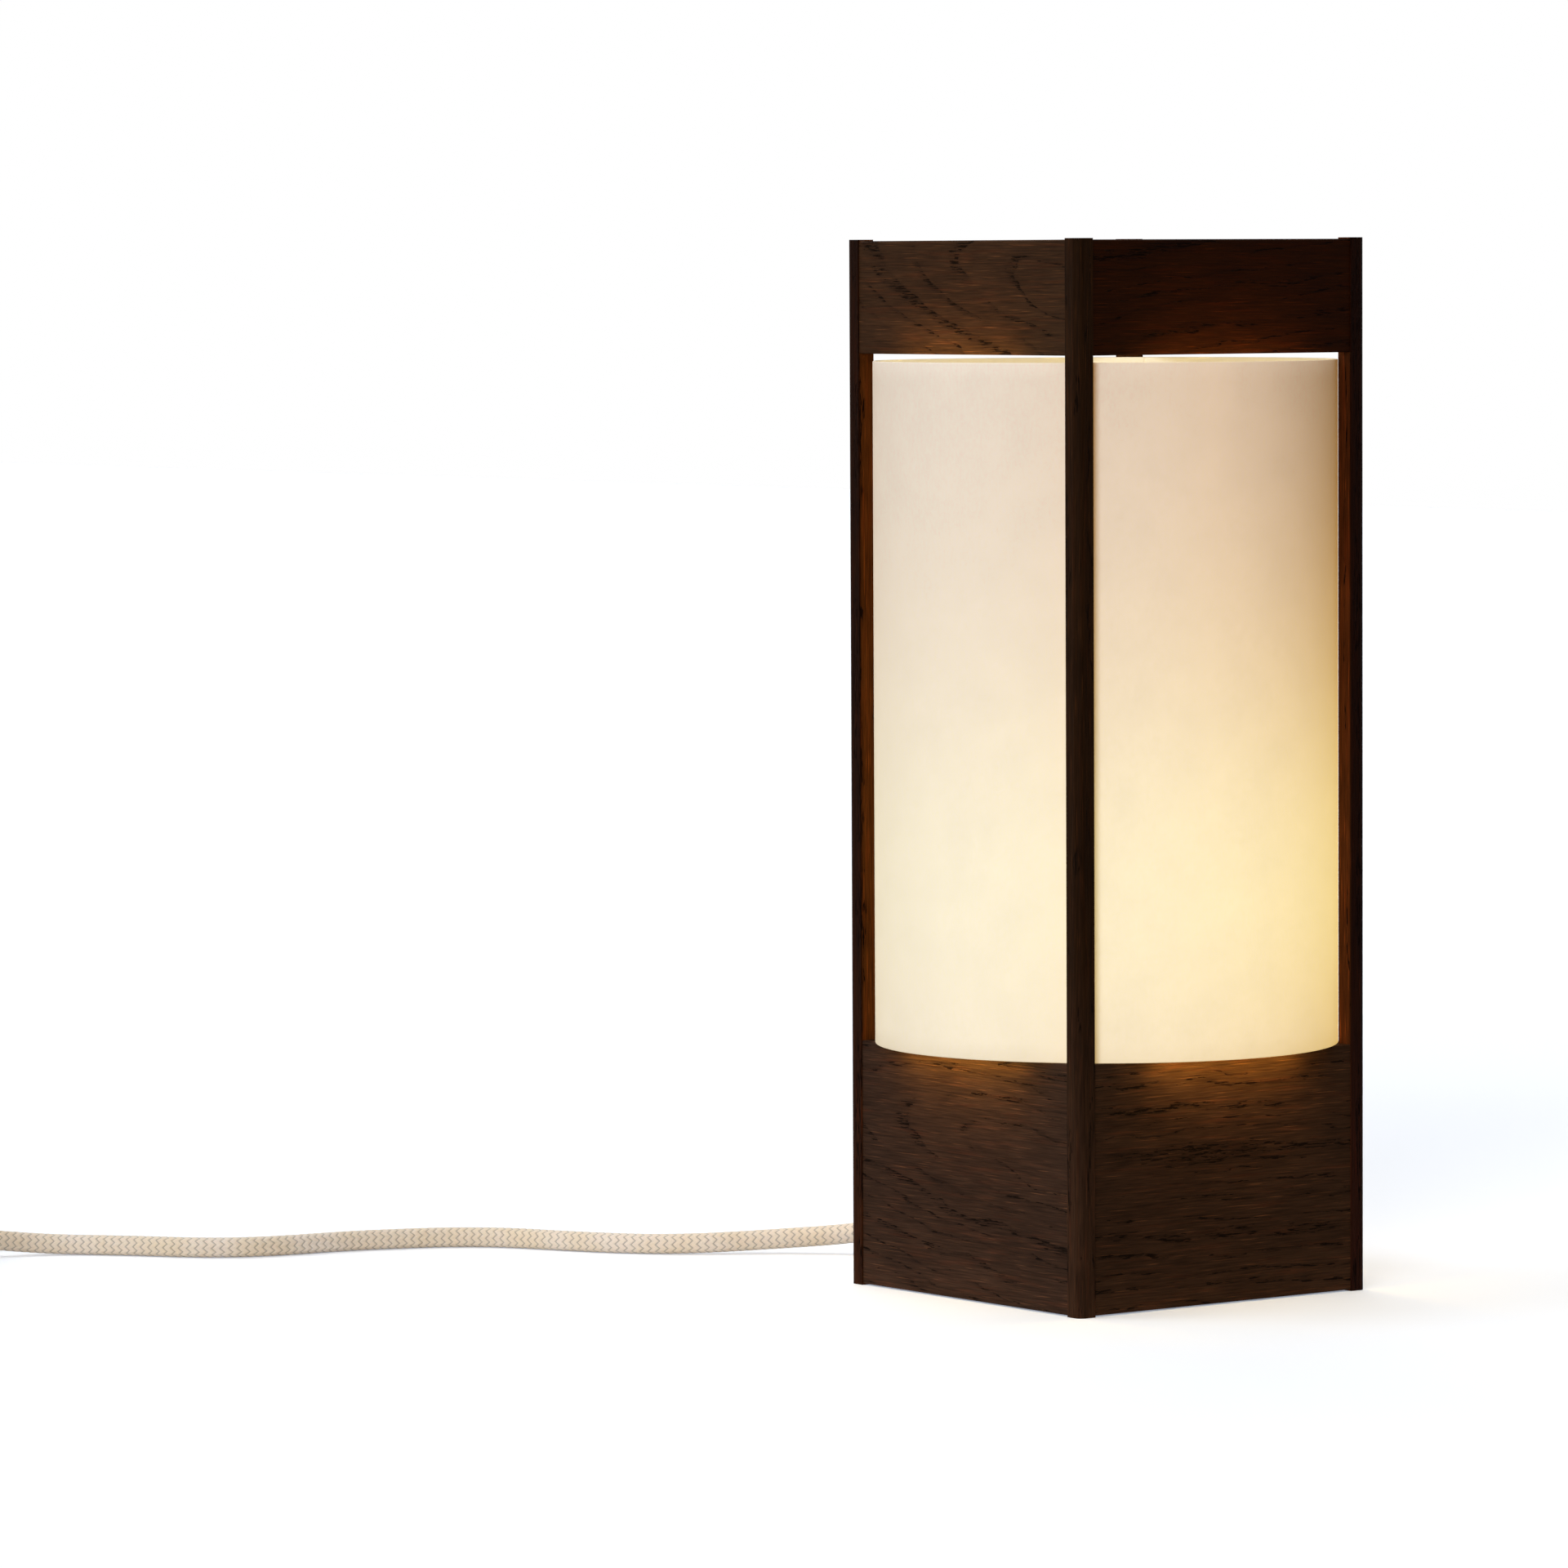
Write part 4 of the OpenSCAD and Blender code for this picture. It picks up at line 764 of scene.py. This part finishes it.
def turned_metal(name, colour, roughness, dull):
    """Turned or plated metal: fine marks round the piece and a patchy film that dulls it.

    The film, a noise of some millimetres, makes it rougher and mixes in the dull colour where it is thick.
    """
    made, tree, shader = material(name, colour, roughness, Metallic=1.0)
    place = put(tree, "TexCoord", out="Object")
    flattened = put(tree, "VectorMath", {0: place, 1: TOOL_MARKS}, operation="MULTIPLY")
    marks = put(tree, "TexNoise", {"Vector": flattened, "Scale": 1.0, "Detail": 2.0})
    film = put(tree, "TexNoise", {"Vector": place, "Scale": 260.0, "Detail": 4.0, "Roughness": 0.6})
    rough = put(tree, "MapRange", {"Value": film, "From Min": 0.35, "From Max": 0.7,
                                   "To Min": roughness * 0.8, "To Max": roughness * 1.5})
    tree.links.new(rough, shader.inputs["Roughness"])
    tarnish = put(tree, "MapRange", {"Value": film, "From Min": 0.5, "From Max": 0.8, "To Max": 0.5})
    colour_out = put(tree, "Mix", {0: tarnish, 6: linear(colour), 7: linear(dull)}, out=2, data_type="RGBA")
    tree.links.new(colour_out, shader.inputs["Base Color"])
    bump = put(tree, "Bump", {"Height": marks, "Strength": 0.15, "Distance": 0.00005}, out="Normal")
    tree.links.new(bump, shader.inputs["Normal"])
    return made


def opal_glass():
    """Opal glass over a lit lamp: smooth, white and glowing, a little dimmer at the neck."""
    made, tree, shader = material("opal_glass", "#f4f1e8", 0.25, Coat_Weight=0.4, Coat_Roughness=0.1)
    place = put(tree, "TexCoord", out="Object")
    height = put(tree, "SeparateXYZ", {0: place}, out="Z")
    neck = BULB_MID - 52 * MM
    globe = BULB_MID - 10 * MM
    glow = put(tree, "MapRange", {"Value": height, "From Min": neck, "From Max": globe,
                                  "To Min": 0.7, "To Max": 1.6})
    grain = put(tree, "TexNoise", {"Vector": place, "Scale": 240.0, "Detail": 3.0})
    shimmer = put(tree, "Math", {0: grain, 1: 0.12, 2: 0.94}, operation="MULTIPLY_ADD")
    shader.inputs["Emission Color"].default_value = linear("#ffeecb")
    tree.links.new(put(tree, "Math", {0: glow, 1: shimmer}, operation="MULTIPLY"),
                   shader.inputs["Emission Strength"])
    return made


# Tape: how far from its middle the woven edges begin, and their ribs
EDGE_FROM_MM = 4.2
RIB_MM = 0.6


def hook_and_loop():
    """Black hook-and-loop tape: a nap of tiny loops between two woven edges, 0.8 mm wide each, with a painted
    shade that darkens it where its relief is low.

    On the UV map u is the length and v the place across the tape, both in millimetres.
    """
    made, tree, shader = material("hook_and_loop", "#161616", 0.9, Sheen_Weight=0.5, Sheen_Roughness=0.4,
                                  Specular_IOR_Level=0.2)
    axes = put(tree, "SeparateXYZ", {0: put(tree, "TexCoord", out="UV")}).node.outputs
    place = put(tree, "TexCoord", out="Object")
    nap = put(tree, "TexVoronoi", {"Vector": place, "Scale": 1500.0, "Randomness": 1.0}, out="Distance")
    off_middle = put(tree, "Math", {0: axes["Y"]}, operation="ABSOLUTE")
    at_edge = put(tree, "Math", {0: off_middle, 1: EDGE_FROM_MM}, operation="GREATER_THAN")
    rib_turn = put(tree, "Math", {0: axes["X"], 1: 2 * math.pi / RIB_MM}, operation="MULTIPLY")
    rib = put(tree, "Math", {0: rib_turn}, operation="SINE")
    woven = put(tree, "Math", {0: rib, 1: 0.25, 2: 0.5}, operation="MULTIPLY_ADD")
    # Painted shade: the colour follows the relief, darker where the loops and ribs are low
    relief = put(tree, "Mix", {0: at_edge, 2: nap, 3: woven}, out=0, data_type="FLOAT")
    dark = linear("#0e0e0f")
    light = linear("#2c2c2e")
    colour = put(tree, "Mix", {0: relief, 6: dark, 7: light}, out=2, data_type="RGBA")
    tree.links.new(colour, shader.inputs["Base Color"])
    bump = put(tree, "Bump", {"Height": relief, "Strength": 0.8, "Distance": 0.0003}, out="Normal")
    tree.links.new(bump, shader.inputs["Normal"])
    return made


strap.data.materials.append(hook_and_loop())
dress(birch_plywood(), "base_board", "corner_block_front_left", "corner_block_front_right",
      "corner_block_back_left", "corner_block_back_right")
dress(stained_hardboard(), "bottom_cover")
# Phenolic resin, moulded: near black, with a satin gloss
dress(moulded("black_phenolic", "#1c1a18", 0.32, 1.2, 0.01), "holder_cup", "holder_skirt")
# Glazed porcelain: white, glassy, slightly uneven
dress(moulded("glazed_porcelain", "#efece4", 0.12, 3.0, 0.02, sway=0.02, Coat_Weight=0.6), "holder_insert")
# Turned brass, bare, which dulls to brown in patches
dress(turned_metal("turned_brass", "#d8b362", 0.28, "#a37c3a"),
      "nipple", "nipple_nut", "holder_terminals", "holder_shell", "holder_contact")
# Zinc-plated steel: grey with a bluish film
dress(turned_metal("zinc_plated_steel", "#c3c6c8", 0.35, "#a2a59b"),
      "board_screws", "cover_screws", "nipple_washer", "cord_stop_screw", "switch_screws")
# Nickel plate: bright and slightly warm
dress(turned_metal("nickel_plate", "#d6d1c8", 0.2, "#b3aea2"), "bulb_cap", "bulb_tip", "plug_pins")
# Fused black glass under the bulb's cap
dress(moulded("fused_black_glass", "#0c0c0c", 0.08, 2.0, 0.02), "bulb_insulator")
dress(opal_glass(), "bulb_glass")
# Moulded rubber: dull black with a fine bloom
dress(moulded("moulded_rubber", "#1f1e1d", 0.62, 0.6, 0.03), "strain_relief")
# Moulded urea resin: cream and hard, its gloss dulled by handling, so that highlights are broad
dress(moulded("urea_resin", "#ebe1cb", 0.42, 1.6, 0.01, sway=0.02),
      "switch_base", "switch_cover", "switch_rocker", "plug_body", "plug_boot")
# Nylon: milky and satin
dress(moulded("nylon", "#e3dfd2", 0.42, 0.8, 0.02, Subsurface_Weight=0.1), "cord_stop")
# Extruded PVC insulation: satin, in the two mains colours
dress(moulded("brown_pvc", "#6b3d20", 0.38, 0.9, 0.015), "wire_live")
dress(moulded("blue_pvc", "#2b5c9c", 0.38, 0.9, 0.015), "wire_neutral")


# How light the table looks
FLOOR_GREY = 0.98
# How light it is for surfaces that touch it, for those further away, and how far away that is
FLOOR_NEAR = 0.9
FLOOR_BOUNCE = 0.03
FLOOR_CLOSE = 40 * MM
# Its own light, which only shows and lights nothing
FLOOR_OWN = 0.33
FLOOR_TINT = (0.78, 0.86, 1.0, 1)
# How far the table reaches from the lamp to three sides, and behind it
TABLE = 6
TABLE_BACK = 12


def seen_directly(tree):
    """The light path's outputs, and 1 where the camera sees a surface itself or in gloss or glass, else 0."""
    path = put(tree, "LightPath").node.outputs
    seen = put(tree, "Math", {0: path["Is Camera Ray"], 1: path["Is Glossy Ray"]}, operation="MAXIMUM")
    return path, put(tree, "Math", {0: seen, 1: path["Is Transmission Ray"]}, operation="MAXIMUM")


def white_table():
    """A white table top that keeps shadows.

    As it is seen it looks white, partly by its own light. Other surfaces get only a dim diffuse light from
    it, unless they are close to it.
    """
    made = bpy.data.materials.new("white_table")
    made.use_nodes = True
    tree = made.node_tree
    tree.nodes.clear()
    path, seen = seen_directly(tree)
    own = put(tree, "Math", {0: seen, 1: FLOOR_OWN}, operation="MULTIPLY")
    bounce = put(tree, "MapRange", {"Value": path["Ray Length"], "From Max": FLOOR_CLOSE,
                                    "To Min": FLOOR_NEAR, "To Max": FLOOR_BOUNCE})
    grey = put(tree, "Mix", {0: seen, 2: bounce, 3: FLOOR_GREY}, data_type="FLOAT")
    diffuse = put(tree, "BsdfDiffuse", {"Color": grey})
    glow = put(tree, "Emission", {"Color": FLOOR_TINT, "Strength": own})
    both = put(tree, "AddShader", {0: diffuse, 1: glow})
    put(tree, "OutputMaterial", {"Surface": both})
    return made


table_corners = np.array([[(-TABLE, -TABLE, 0), (TABLE, -TABLE, 0)],
                          [(-TABLE, TABLE_BACK, 0), (TABLE, TABLE_BACK, 0)]], dtype=float)
floor = surface("table_top", table_corners)
floor.data.materials.append(white_table())


def white_room():
    """The room: white to the camera, gloss and glass, and dark to the rest, which the lamps light."""
    world = bpy.data.worlds.new("room")
    bpy.context.scene.world = world
    world.use_nodes = True
    tree = world.node_tree
    tree.nodes.clear()
    seen = seen_directly(tree)[1]
    back = put(tree, "Background", {"Color": (1, 1, 1, 1), "Strength": seen})
    put(tree, "OutputWorld", {"Surface": back})


def lamp(name, kind, energy, colour, place=(0, 0, 0), aim=None, **settings):
    """Adds a light. aim is the direction in which it shines."""
    data = bpy.data.lights.new(name, kind)
    data.energy = energy
    data.color = linear(colour)[:3]
    for key, value in settings.items():
        setattr(data, key, value)
    made = bpy.data.objects.new(name, data)
    bpy.context.scene.collection.objects.link(made)
    turn = Vector(aim).to_track_quat("-Z", "Y").to_matrix().to_4x4() if aim else Matrix.Identity(4)
    made.matrix_world = Matrix.Translation(Vector(place)) @ turn
    return made


def from_sky(azimuth, elevation):
    """The direction of light that comes from an azimuth, counted from +X, and an elevation, in degrees."""
    a, e = math.radians(azimuth), math.radians(elevation)
    return (-math.cos(a) * math.cos(e), -math.sin(a) * math.cos(e), -math.sin(e))


# The room's soft lights: strength, colour, where each comes from in degrees, and how wide it is
SOFT_LIGHTS = (
    ("window", 1.8, "#f8fbff", (-141, 18), 30),
    ("side_window", 1.02, "#f8fbff", (140, 28), 40),
    ("ceiling", 1.25, "#ffffff", (60, 78), 60),
    ("back_fill", 0.5, "#ffffff", (62, 35), 40),
)
white_room()
for light_name, strength, tint, source, width in SOFT_LIGHTS:
    lamp(light_name, "SUN", strength, tint, aim=from_sky(*source), angle=math.radians(width))

# The bulb lights the space inside the paper, and its light goes up with it
BULB_POWER = 0.065
GLOW_R = 28 * MM
bulb_light = lamp("bulb_light", "POINT", BULB_POWER, "#ffdca0", place=(0, 0, BULB_MID),
                  shadow_soft_size=GLOW_R)
bulb_light.parent = frame["bodies"]["bulb"]

# Through each side the paper bulges past the panels, and its lit inner wall shines down and up on them
SPILL_COLOUR = "#ffd468"
SPILL_IN = 0.35
SPILL_INSET = 1.5 * MM
# Height, which way it shines, and power of the spill at the paper's lower and upper edge
SPILLS = ((SHADE_Z[0] + SPILL_INSET, -1, 0.022), (SHADE_Z[1] - SPILL_INSET, 1, 0.0085))
bulge = SHADE_R - PANEL_FACE
half_chord = math.sqrt(SHADE_R ** 2 - PANEL_FACE ** 2)
spill_from_axis = PANEL_FACE + 0.4 * bulge
spill_size = {"shape": "RECTANGLE", "size": 1.3 * half_chord, "size_y": 0.3 * bulge}
for k in range(4):
    a = k * math.pi / 2
    out = Vector((math.cos(a), math.sin(a), 0))
    for z, tilt, power in SPILLS:
        spill = lamp("spill", "AREA", power, SPILL_COLOUR, place=out * spill_from_axis + Vector((0, 0, z)),
                     aim=Vector((0, 0, tilt)) - SPILL_IN * out, **spill_size)
        spill.visible_camera = False

bpy.context.scene.view_settings.view_transform = "Standard"
